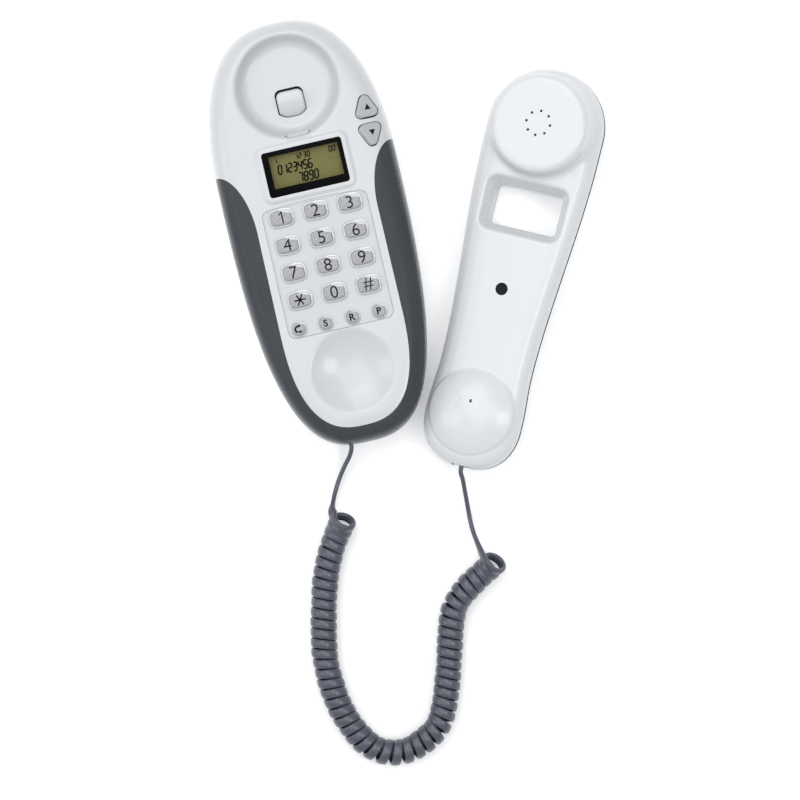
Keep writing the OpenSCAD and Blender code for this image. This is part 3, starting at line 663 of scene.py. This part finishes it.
def strip_mesh(name, path, width_dir, material):
    """A flat oval strip swept along a path, with its ends closed."""
    tangent = np.gradient(path, axis=0)
    tangent /= np.linalg.norm(tangent, axis=1)[:, None]
    across = width_dir - (width_dir * tangent).sum(1)[:, None] * tangent
    across /= np.linalg.norm(across, axis=1)[:, None]
    thick = np.cross(tangent, across)
    section = superellipse(STRIP_W, STRIP_T, 2.9, 16)
    rings = path[:, None] + section[None, :, :1] * across[:, None] + section[None, :, 1:] * thick[:, None]
    piece = through(name, rings, material)
    piece.data.flip_normals()    # seen along the path, the section runs clockwise
    return piece


cord = smooth(strip_mesh("handset_cord", cord_path, cord_width, jacket), 60)


# -------- base: top cover, trim, back cover

base_points = base_outline(360)
base_inset = Table((-52, -113), (52, 113), 0.8, lambda x, y: polygon_distance(base_outline(720), x, y))
CROWN = [[0, 12, 0], [0.5, 20, 6], [1.5, 26, 18], [3.5, 30.1, 40], [6.8, 32.6, 62], [11, 33.62, 80],
         [16.5, 34, 87]]
crown_edge = edge_table(CROWN, 44, 26)


def base_body(x, y, z):
    return crown_edge(np.minimum(base_inset(x, y), 24), z)


def rect_distance(x, y, w, l, r):
    a, b = np.abs(x) - w / 2 + r, np.abs(y) - l / 2 + r
    return np.minimum(np.maximum(a, b), 0) + np.hypot(np.maximum(a, 0), np.maximum(b, 0)) - r


def cup_hollow(x, y, z):
    side = (np.hypot(x, y - CUP_Y) - CUP_R - 0.52 * (z - CUP_FLOOR)) * 0.887
    return smooth_max(side, CUP_FLOOR - z, 3)


def dish_hollow(x, y, z):
    return np.sqrt(x**2 + (y - DISH_Y)**2 + (z - DISH_Z)**2) - DISH_R


def top_cover_field(x, y, z):
    body = base_body(x, y, z)
    border = smooth_max(rect_distance(x, y - DISPLAY_Y, 44.6, 26.7, 3.5), z - 34.8, 1.2)
    body = smooth_min(body, border, 1.6)
    body = smooth_max(body, -cup_hollow(x, y, z), 1.7)
    return smooth_max(body, -dish_hollow(x, y, z), 0.7)


def wall_of(field, t):
    def shell(x, y, z):
        value = field(x, y, z)
        return np.maximum(value, -(value + t))
    return shell


def trim_outline(gap):
    """What lies outside the white middle: an arm up each side, joined round the lower end."""
    t = np.radians(np.arange(90, -1, -3.0))
    arm = np.stack([HALF_W - (14.8 - gap) * np.cos(t), 5 + (31 - gap) * np.sin(t)], 1)
    t = np.radians(np.arange(0, -91, -2.0))
    bottom = np.stack([(30.2 + gap) * power(np.cos(t), 2 / 2.6),
                       -45 + (52 + gap) * power(np.sin(t), 2 / 2.6)], 1)
    half = np.concatenate([[[80, 36 - gap]], arm, bottom[1:]])
    half[-1, 0] = 0
    other = half[-2::-1] * [-1, 1]
    return np.concatenate([half, other, [[-80, -130], [80, -130]]])


def key_outline(grow=0.0):
    return inset(superellipse(12.3, 9.1, 3.6, 64), -grow)


def rounded_triangle():
    """Round-cornered triangle that points to +Y, anticlockwise."""
    w, l, r = 10.2, 10.6, 2.3
    corners = [(w / 2 - r, r - l / 2, -84, 22), (0, l / 2 - r, 25, 155), (r - w / 2, r - l / 2, 158, 264)]
    points = []
    for cx, cy, start, stop in corners:
        t = np.radians(np.linspace(start, stop, 10))
        points.append(np.stack([cx + r * np.cos(t), cy + r * np.sin(t)], 1))
    low = np.linspace(r - w / 2 + 0.4, w / 2 - r - 0.4, 7)
    points.append(np.stack([low, -l / 2 - 0.15 * (1 - (low / (w / 2))**2)], 1))
    return np.concatenate(points)


def centre_of(node):
    low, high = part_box(node)
    return (low + high) / 2 / MM


number_keys = {"key_1": "1", "key_2": "2", "key_3": "3", "key_4": "4", "key_5": "5", "key_6": "6",
               "key_7": "7", "key_8": "8", "key_9": "9", "key_star": "*", "key_0": "0", "key_hash": "#"}
round_keys = {"key_talk": "", "key_store": "S", "key_redial": "R", "key_program": "P"}
arrows = {"key_up": (35.5, 54.0, 0), "key_down": (35.2, 40.0, 180)}


def arrow_outline(x, y, turn, grow=0.0):
    a = math.radians(turn)
    p = inset(rounded_triangle(), -grow)
    return p @ np.array([[math.cos(a), math.sin(a)], [-math.sin(a), math.cos(a)]]) + [x, y]


def key_hole_tools(low):
    tools = []
    for node in number_keys:
        c = centre_of(node)
        tools.append(prism("tool", key_outline(0.06) + [c.x, c.y], low, 44))
    for node in round_keys:
        c = centre_of(node)
        tools.append(prism("tool", circle(3.97, 48, c.x, c.y), low, 44))
    return joined("tool", tools)


def panel_outline(gap):
    w, r, top, bottom = 26.2 - gap, 4.0, 15.8 - gap, -49 + gap

    def arc(cx, cy, a, b):
        t = np.radians(np.arange(a, b + 1, 9.0))
        return np.stack([cx + r * np.cos(t), cy + r * np.sin(t)], 1)

    x = np.arange(0.8, -0.81, -0.1)
    crest = np.stack([x * w, top - 0.9 * (x / 0.8)**2], 1)
    return np.concatenate([arc(r - w, bottom + r, 180, 270), arc(w - r, bottom + r, 270, 360),
                           arc(w - r, top - 0.9 - r, 0, 81), crest, arc(r - w, top - 0.9 - r, 99, 171)])


def hook_area(gap):
    """The hook lever's outline from above, grown by the gap."""
    w = 6.55 + gap
    t = np.linspace(-1, 1, 33)
    low = np.stack([t * w, 0.1 - gap + 2.6 * np.abs(t)**3], 1)
    t = np.radians(np.arange(0, 91, 10.0))
    right = np.stack([w - 3 + 3 * np.cos(t), 9.9 + gap + 3 * np.sin(t)], 1)
    return np.concatenate([low, right, right[::-1] * [-1, 1]]) + [0, HOOK_Y]


def body_under(depth):
    """The base's body without its outermost layer of that depth."""
    return lambda x, y, z: base_body(x, y, z) + depth


top_cover = skin("top_cover_shell", wall_of(top_cover_field, 2.3), BASE_LOW, BASE_HIGH, 0.8, white)
recess = cut(prism("tool", trim_outline(0), 11.5, 44),
             skin("tool", body_under(1.6), BASE_LOW, BASE_HIGH, 1.0))
panel_tool = prism("tool", panel_outline(0), DISPLAY_FLOOR, 40)
lens_tool = prism("tool", rounded_rect(39.9, 22.3, 1.6) + [0, DISPLAY_Y], DISPLAY_FLOOR, 40)
window_tool = prism("tool", rounded_rect(36, 17.8, 1) + [0.3, DISPLAY_Y + 0.5], 20, 40)
hook_tool = prism("tool", hook_area(0.5), 20, 32)
# Room for the lever's far edge, which swings outwards as it goes down.
hook_turned = prism("tool", hook_area(0.5) + [0, 0.42], 20, 32)
tab_tool = block((-5.42, 46.93, 15), (5.42, 49.07, 40))
tab_dots = joined("tool", [prism("tool", circle(0.35, 20, x, 48.2), 29, 40) for x in (-5.95, 5.95)])
arrow_tools = [prism("tool", arrow_outline(x + dx, y + dy, turn, grow), 20, 40)
               for x, y, turn in arrows.values() for dx, dy, grow in ((-0.75, -0.4, 0.5), (0, 0, 0.18))]
cut(top_cover, block((-60, -120, 0), (60, 120, 12)), recess, panel_tool, lens_tool, window_tool,
    hook_tool, hook_turned, tab_tool, tab_dots, *arrow_tools, key_hole_tools(20))
shaded(top_cover, top_cover_field)
stands_for(top_cover, "top_cover", "base")

trim_face = body_under(0.06)
trim = skin("side_trim_inlay", trim_face, BASE_LOW, BASE_HIGH, 0.8, dark)
cut(trim, prism("tool", trim_outline(0.16), 12.2, 44), how="INTERSECT")
cut(trim, skin("tool", body_under(1.5), (-46, -107, 7.2), BASE_HIGH, 1.0))
shaded(trim, trim_face)
stands_for(trim, "side_trim", "base")

back_rings = ring_spline([[3.4, 0, -80], [1.5, 0.9, -55], [0.6, 3, -12], [0.3, 6, -2], [0.3, 11.6, 0]], 6)
back = loft("back_cover_shell", base_points, back_rings, white)
lip = loft("tool", base_points, [[2.8, 5], [2.8, 14]])
cut(back, lip, how="UNION")
cavity = loft("tool", base_points, [[3.8, 2.2], [3.8, 15]])
bosses = [prism("tool", circle(3.5, 40, x, y), 0, 11.8) for x, y in SCREWS]
posts = [prism("tool", circle(2.5, 32, sx * 22, y), 0, 22.6) for y in (38, -46) for sx in (-1, 1)]
posts += [prism("tool", circle(2.2, 32, sx * 12, y), 0, 9) for y in (61, 81) for sx in (-1, 1)]
cut(cavity, joined("tool", bosses + posts))
holes = [block((-14.3, -120, 3.4), (-4.1, -96, 11.6)), block((3.1, -120, 3.4), (15.3, -96, 11.6))]
holes += [lathe("tool", [[3.9, -1], [3.9, -0.001], [3.2, 0.7], [3.2, 6]], x, y, 48) for x, y in SCREWS]
for y in (-KEYHOLE_Y, KEYHOLE_Y):
    t = np.radians(np.arange(120.8, 420, 7.48))
    ring = np.stack([4.5 * np.cos(t), 4.5 * np.sin(t)], 1)
    t = np.radians(np.arange(0, 181, 12.0))
    crest = np.stack([2.3 * np.cos(t), 9 + 2.3 * np.sin(t)], 1)
    holes.append(prism("tool", np.concatenate([ring, crest]) + [0, y], -1, 3.2))
cut(back, cavity, joined("tool", holes))
smooth(back, 30)
stands_for(back, "back_cover", "base")


# -------- keypad panel, keys and prints

def glyph(name, text, height, x, y, z, bold):
    """A printed character of that height, centred at x, y."""
    data = bpy.data.curves.new(name, "FONT")
    data.body = text
    data.resolution_u = 6
    data.extrude = 0.02
    data.offset = bold
    source = bpy.data.objects.new(name, data)
    scene.collection.objects.link(source)
    bpy.context.view_layer.update()
    mesh = bpy.data.meshes.new_from_object(source.evaluated_get(bpy.context.evaluated_depsgraph_get()))
    bpy.data.objects.remove(source)
    co = np.array([v.co for v in mesh.vertices])
    low, high = co.min(0), co.max(0)
    co -= (low + high) / 2
    scale = height / (high[1] - low[1])
    co *= [scale, scale, PRINT_T / (high[2] - low[2])]
    co = (co + [x, y, z + PRINT_T / 2]) * MM
    mesh.vertices.foreach_set("co", co.ravel())
    return link(name, mesh, ink)


def bars(name, parts, z, thickness, material):
    """Thin printed bars, each (x, y, length, width, angle), joined into one piece."""
    pieces = []
    for x, y, length, width, angle in parts:
        a = math.radians(angle)
        p = rounded_rect(length, width, width * 0.15, 2)
        p = p @ np.array([[math.cos(a), math.sin(a)], [-math.sin(a), math.cos(a)]]) + [x, y]
        pieces.append(prism("tool", p, z, z + thickness))
    return joined(name, pieces, material)


panel = loft("keypad_panel_plate", panel_outline(0.12),
             [[0, DISPLAY_FLOOR], [0, 33.75], [0.12, 33.92], [0.32, 34.0], [0.6, 34.0], [0.8, 33.92],
              [0.95, 33.85], [1.2, 33.85]], panel_white)
cut(panel, key_hole_tools(30))
smooth(panel, 30)
stands_for(panel, "keypad_panel", "base")


def key_body(node):
    return node + "_body"


def finish_key(cap, mark, node, skirt_top):
    """Gives the cap a clear skirt up to that height, and puts it and its print in the node's place."""
    cap.data.materials.append(key_clear)
    for p in cap.data.polygons:
        if max(cap.data.vertices[v].co.z for v in p.vertices) < skirt_top * MM:
            p.material_index = 1
    smooth(cap, 50)
    stands_for(cap, node, key_body(node))
    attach(mark, key_body(node))


CAP_TOP, ROUND_TOP = 36.3, 35.6
ONE_OUTLINE = np.array([[0.2, -2.95], [0.86, -2.95], [0.86, 2.95], [0.35, 2.95], [-0.2, 2.3], [-1.15, 1.75],
                        [-1.15, 1.1], [-0.4, 1.42], [0.2, 1.9]])
for node, text in number_keys.items():
    c = centre_of(node)
    rings = [[-0.9, 30.3], [-0.9, 31.1], [0, 31.2], [0, 34.7], [0.05, 34.95], [0.2, 35.1], [0.75, 35.15],
             [0.85, 35.3], [0.95, 35.6], [1.15, 35.95], [1.5, 36.18], [2.0, CAP_TOP - 0.02], [2.6, CAP_TOP]]
    cap = loft(node + "_cap", key_outline() + [c.x, c.y], rings, key_grey)
    if text == "*":
        mark = bars(node + "_print", [(c.x, c.y, 5.8, 0.72, a) for a in (0, 60, 120)], CAP_TOP, PRINT_T, ink)
    elif text == "1":
        mark = prism(node + "_print", ONE_OUTLINE + [c.x, c.y + 0.1], CAP_TOP, CAP_TOP + PRINT_T, ink)
    else:
        mark = glyph(node + "_print", text, 5.9, c.x, c.y + 0.1, CAP_TOP, -0.002)
    finish_key(cap, mark, node, 35.2)

for node, text in round_keys.items():
    c = centre_of(node)
    cap = lathe(node + "_cap", [[2, 29.1], [2, 30.3], [4.8, 30.3], [4.8, 31.1], [3.9, 31.2], [3.9, 34.3],
                                [3.85, 34.5], [3.7, 34.62], [3.35, 34.66], [3.25, 34.8], [3.15, 35.1],
                                [2.95, 35.35], [2.6, 35.5], [2.1, 35.58], [1.4, ROUND_TOP], [0, ROUND_TOP]],
                c.x, c.y, 64, key_grey)
    if text:
        mark = glyph(node + "_print", text, 3.5, c.x, c.y, ROUND_TOP, 0.03)
    else:
        arc = [(c.x - 0.2 + 1.5 * math.cos(math.radians(a)), c.y + 1.5 * math.sin(math.radians(a)), 0.9, 0.8,
                a + 90) for a in range(100, 236, 15)]
        ends = [(c.x + 0.35, c.y + 1.55, 1.3, 1.1, 20), (c.x + 0.35, c.y - 1.35, 1.3, 1.1, -20),
                (c.x + 1.6, c.y - 1.2, 0.7, 0.5, 0)]
        mark = bars(node + "_print", arc + ends, ROUND_TOP, PRINT_T, ink)
    finish_key(cap, mark, node, 34.7)


# -------- arrow keys, hook lever, hanger tab

SLOPE = math.radians(20)
FACE_Z = 33.9

for node, (x0, y0, turn) in arrows.items():
    outline = arrow_outline(x0, y0, turn)
    area = Table((x0 - 9, y0 - 10), (x0 + 9, y0 + 10), 0.4, lambda x, y, o=outline: polygon_distance(o, x, y))

    def arrow_field(x, y, z, x0=x0, area=area):
        face_plane = (z - FACE_Z) * math.cos(SLOPE) + (x - x0) * math.sin(SLOPE)
        deep = np.clip(-face_plane, 0, 2.2)
        return smooth_max(smooth_max(-area(x + 0.5 * deep, y + 0.26 * deep), face_plane, 0.6), 27.7 - z, 0.2)

    key = skin(node + "_cap", arrow_field, (x0 - 7, y0 - 8, 26.5), (x0 + 7, y0 + 8, 38), 0.3, arrow_grey)
    # The steep side walls, picked by their normals, take the near-black copy: painted shade.
    key.data.materials.append(arrow_side_shade)
    for p in key.data.polygons:
        if p.normal.z < 0.25:
            p.material_index = 1
    smooth(key, 50)
    stands_for(key, node, key_body(node))
    up = 1 if turn == 0 else -1
    tip = prism(node + "_print", np.array([[-1.6, -1.35 * up], [1.6, -1.35 * up], [0, 1.5 * up]])[::up],
                0, 0.06, ink)
    lean = Matrix.Rotation(SLOPE, 4, "Y")
    place(tip, shift(x0 + 0.3, y0 - 0.7 * up, FACE_Z - 0.3 * math.tan(SLOPE) - 0.02) @ lean)
    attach(tip, key_body(node))

hook_plan = Table((-12, 50), (12, 76), 0.4, lambda x, y: polygon_distance(hook_area(0), x, y))
hook_back = np.array([[13.5, 6.6], [12.4, 7.9], [10, 8.5], [7, 8.4], [3.5, 7.2], [1, 5.6], [-2, 3.6]])
side_line = np.concatenate([[[-2, -2], [13.5, -2]], fine_line(hook_back, 0.5)]) + [HOOK_Y, HOOK_Z]
hook_side = Table((50, 14), (78, 36), 0.4, lambda y, z: polygon_distance(side_line, y, z))


def hook_field(x, y, z):
    head = smooth_max(-hook_plan(x - 0.14, y + 0.3), -hook_side(y, z), 1.5)
    hub = np.maximum(np.hypot(y - HOOK_Y, z - HOOK_Z) - 2.1, np.abs(x) - 6.3)
    return smooth_min(head, hub, 0.3)


hook = skin("hook_lever_head", hook_field, (-8, 53, 17), (8, 73, 32), 0.35, white)
cut(hook, place(prism("tool", circle(1.05, 32), -9, 9),
                shift(0, HOOK_Y, HOOK_Z) @ Matrix.Rotation(math.pi / 2, 4, "Y")))
shaded(hook, hook_field)
stands_for(hook, "hook_lever", "hook")

low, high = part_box("hanger_tab")
low, high = low / MM, high / MM
tab = joined("hanger_tab_tongue", [
    bevelled(block((low.x, 47, low.z), (high.x, 49, high.z - 0.5)), 0.5, 3),
    bevelled(block((low.x, 46, low.z), (high.x, 50, low.z + 1.5)), 0.3, 2)], white)
tab_slope = shift(0, 47, 33.3) @ Matrix.Rotation(-math.pi / 4, 4, "X")
cut(tab, place(block((-7, -3, 0), (7, 6, 6)), tab_slope))
smooth(tab, 40)
stands_for(tab, "hanger_tab", "hanger")


# -------- display

lens_frame = loft("display_lens_border", rounded_rect(39.6, 22, 1.5) + [0, DISPLAY_Y],
                  [[0, DISPLAY_FLOOR], [0, 34.4], [0.06, 34.52], [0.2, 34.6]], gloss_black)
cut(lens_frame, prism("tool", rounded_rect(34.4, 15.9, 0.3) + [0.5, 32], 30, 40))
smooth(lens_frame, 40)
stands_for(lens_frame, "display_lens", "base")
glass = prism("display_lens_pane", rounded_rect(34.38, 15.88, 0.29) + [0.5, 32], 33.9, 34.55, pane)
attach(glass, "base")

SEGMENTS = {"0": "abcdef", "1": "bc", "2": "abged", "3": "abgcd", "4": "fgbc", "5": "afgcd", "6": "afgedc",
            "7": "abc", "8": "abcdefg", "9": "abcdfg"}


def segment_digit(char, x, y, w, h, t):
    """Bars of a seven-segment digit whose lower left corner is at x, y."""
    places = {"a": (w / 2, h, w, 0), "g": (w / 2, h / 2, w, 0), "d": (w / 2, 0, w, 0),
              "f": (0, h * 0.75, h / 2, 90), "b": (w, h * 0.75, h / 2, 90),
              "e": (0, h * 0.25, h / 2, 90), "c": (w, h * 0.25, h / 2, 90)}
    lean = 0.12
    out = []
    for part in SEGMENTS[char]:
        px, py, length, angle = places[part]
        out.append((x + px + lean * py, y + py, length - 0.12 * h / 4, t, angle if angle == 0 else 90 - 7))
    return out


def digit_row(chars, x, y, spacing, w, h, t):
    return [bar for i, char in enumerate(chars) for bar in segment_digit(char, x + spacing * i, y, w, h, t)]


lcd_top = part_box("lcd_module")[1].z / MM
u0, v0 = -16.5, 24.25
rows = digit_row("0123456", u0 + 3.1, v0 + 6.6, 2.5, 1.65, 4.2, 0.78)
rows += digit_row("7890", u0 + 12.2, v0 + 1.0, 2.6, 1.65, 4.2, 0.78)
rows += digit_row("12", u0 + 12.6, v0 + 12.2, 1.75, 1.05, 2.5, 0.52)
rows += digit_row("30", u0 + 16.9, v0 + 12.2, 1.75, 1.05, 2.5, 0.52)
rows += [(u0 + 16.1, v0 + 13.0, 0.35, 0.35, 0), (u0 + 16.2, v0 + 14.1, 0.35, 0.35, 0)]
rows += segment_digit("1", u0 + 2.4, v0 + 12.1, 0.9, 2.1, 0.5) + [(u0 + 4.3, v0 + 12.1, 0.35, 0.35, 0)]
rows += digit_row("00", u0 + 29.4, v0 + 12.1, 1.85, 1.15, 2.6, 0.55)
rows += [(u0 + 28.9 + 0.9 * i, v0 + 9.1, 0.6, 0.3, 0) for i in range(3)]
lcd_digits = bars("lcd_digits", rows, lcd_top, 0.03, segment_ink)
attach(lcd_digits, "base")


# -------- handset

# The handset is turned beside the base, and leans about a line at the height of its seam.
on_handset = (shift(86.6, -38.8, 4.1) @ Matrix.Rotation(math.radians(-27), 4, "Z") @ shift(0, 0, SEAM_Z)
              @ Matrix.Rotation(math.radians(-14), 4, "Y") @ shift(0, 0, -SEAM_Z))
handset_points = handset_outline()
handset_inset = Table((-36, -108), (36, 108), 0.8, lambda x, y: polygon_distance(handset_points, x, y))
front_edge = edge_table([[0, SEAM_Z, 0], [0.35, 13.6, 14], [1.6, 16.2, 36], [4.1, 18.4, 56], [7.8, 19.8, 73],
                         [12, 20.3, 85], [15.6, 20.4, 90]], 40, 18)


def handset_body(x, y, z):
    return front_edge(np.minimum(handset_inset(x, y), 16), z)


def window_distance(x, y):
    return rect_distance(x, y - WINDOW_Y, WINDOW_W, WINDOW_L, WINDOW_CORNER)


def window_tool(low):
    return prism("tool", rounded_rect(WINDOW_W, WINDOW_L, WINDOW_CORNER) + [0, WINDOW_Y], low, 40)


def cord_slot_tool():
    return block((-4.8, -120, 6.8), (4.8, -94, 15.2))


def handset_front_field(x, y, z):
    body = handset_body(x, y, z)
    from_axis = np.hypot(x, y - EAR_Y)
    side = (from_axis - POD_R - 0.12 * np.clip(POD_TOP - z, 0, 11)) * 0.993
    body = smooth_min(body, smooth_max(side, z - POD_TOP, 3.6), 3.2)
    from_axis = np.hypot(x, y - MOUTH_Y)
    dome = np.sqrt(from_axis**2 + (z - DOME_Z)**2) - DOME_R
    body = smooth_min(body, smooth_max(dome, from_axis - DOME_EDGE, 0.8), 0.9)
    # A shallow ring round the microphone's hole.
    body = body + 0.10 * np.clip(1 - np.abs(from_axis - 7.8) / 0.7, 0, 1) * (z > 20)
    height = np.minimum(z, 21.2) - 13.4
    slope = (window_distance(x - 0.13 * height, y) - height * 0.56) / 1.15
    return smooth_max(body, -slope, 1.1)


def handset_front_shell(x, y, z):
    value = handset_front_field(x, y, z)
    hollow = np.maximum(value + 2, 5.4 - window_distance(x, y))
    return np.maximum(value, -hollow)


handset_front = skin("handset_front_shell", handset_front_shell, (-31, -102, 8.4), (31, 102, 32), 0.8,
                     handset_white_painted_lighter)
sound_holes = circle(6, 8, 0, EAR_Y)
tools = [prism("tool", circle(0.68, 24, x, y), 25, 34) for x, y in sound_holes]
tools.append(prism("tool", circle(0.88, 28, 0, -67.5), 20, 34))
tools.append(prism("tool", circle(3.1, 48, 0, STOPPER_Y), 16.2, 30))
cut(handset_front, block((-60, -120, 0), (60, 120, SEAM_Z)), window_tool(0), joined("tool", tools),
    cord_slot_tool())
shaded(handset_front, handset_front_field)
place(handset_front, on_handset)
stands_for(handset_front, "handset_front", "handset")

back_edge = ring_spline([[14, 0, -90], [10, 0.46, -82], [6, 1.46, -65], [3.2, 2.9, -47], [1.3, 5.2, -28],
                         [0.3, 7.4, -10], [0, 9.3, 0]], 6).tolist() + [[0.8, 9.35], [0.8, 11.1]]
handset_back = loft("handset_back_shell", handset_points, back_edge, handset_white_painted_lighter)
inner_edge = ring_spline([[14, 2, -90], [10.3, 2.3, -82], [6.9, 3.1, -65], [4.6, 4.4, -47], [3.1, 6.2, -28],
                          [2.3, 8.8, -10], [2, 12, 0]], 4)
inner = loft("tool", handset_points, inner_edge)
window_wall = prism("tool", rounded_rect(WINDOW_W + 4, WINDOW_L + 4, 4) + [0, WINDOW_Y], -1, 40)
cut(inner, joined("tool", [window_wall, prism("tool", circle(3.4, 40, 0, STOPPER_Y), -1, 11.1)]))
cut(handset_back, inner, window_tool(-5), cord_slot_tool())
# The groove under the seam, apart from the window's wall, gets the black rubber finish: a painted shadow in
# the gap.
handset_back.data.materials.append(rubber)
seam_shadow_slot = len(handset_back.data.materials) - 1
for p in handset_back.data.polygons:
    x, y, z = p.center / MM
    if z > 9.32 and (abs(y - WINDOW_Y) > 12.5 or abs(x) > 21):
        p.material_index = seam_shadow_slot
smooth(handset_back, 30)
place(handset_back, on_handset)
stands_for(handset_back, "handset_back", "handset")

stopper = lathe("screw_cover_stopper", [[2.6, 18.4], [2.95, 18.6], [3.0, 19.7], [2.93, 19.92], [2.75, 20.02],
                                        [2.3, 20.06], [1.2, 20.1], [0, 20.1]], 0, STOPPER_Y, 64, rubber)
smooth(place(stopper, on_handset), 40)
stands_for(stopper, "screw_cover", "handset")


# -------- modular plugs of the cord

def modular_plug(name, entry_y):
    """Clear plug, and a boot where the cord enters, pointing to +Y from entry_y."""
    body = bevelled(block((-3.8, entry_y + 0.6, -3.1), (3.8, entry_y + 12.6, 3.1)), 0.35, 2)
    boot = loft("tool", rounded_rect(5.6, 3.4, 1.2), [[0.5, -1.2], [0.1, -0.9], [0, 0], [0, 2.0]])
    place(boot, shift(0, entry_y + 1.2, 0) @ Matrix.Rotation(-math.pi / 2, 4, "X"))
    body_sides = len(body.data.polygons)
    plug = joined(name, [body, boot], clear)
    plug.data.materials.append(jacket)
    for p in plug.data.polygons[body_sides:]:
        p.material_index = 1
    return smooth(plug, 40)


base_plug = modular_plug("base_cord_plug", -103.6)
place(base_plug, shift(-9.2, 0, 7.5))
stands_for(base_plug, "base_plug", "base")
handset_plug = modular_plug("handset_cord_plug", -99)
place(handset_plug, on_handset @ shift(0, 0, 11))
stands_for(handset_plug, "handset_plug", "handset")

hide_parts("base_lead", "cord_coil", "handset_lead")
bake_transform(cord)


# -------- case screws, heads towards the back

screws = []
for x, y in SCREWS:
    screw = lathe("tool", [[0, 3.6], [1.6, 3.62], [2.5, 3.85], [2.85, 4.25], [2.9, 4.7], [2.9, 6],
                           [1.45, 6.2], [1.45, 20.6], [0.6, 21]], x, y, 40)
    screws.append(cut(screw, block((x - 1.7, y - 0.4, 3), (x + 1.7, y + 0.4, 4.9)),
                      block((x - 0.4, y - 1.7, 3), (x + 0.4, y + 1.7, 4.9))))
screws = smooth(joined("case_screw_set", screws, steel), 40)
stands_for(screws, "case_screws", "base")


# -------- finishes of the CAD nodes that stay

finishes = {
    "lcd_module": olive, "keypad_mat": silicone, "main_board": board, "switch_board": board,
    "hook_switch": black, "hook_pin": steel, "hook_spring": steel, "ringer": brass,
    "handset_socket": black, "line_socket": black, "receiver": black,
    "microphone": aluminium, "microphone_boot": rubber, "ballast_weight": steel, "handset_jack": black,
    "handset_screw": steel,
}
for node, material in finishes.items():
    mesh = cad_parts[node].data
    mesh.materials.clear()
    mesh.materials.append(material)
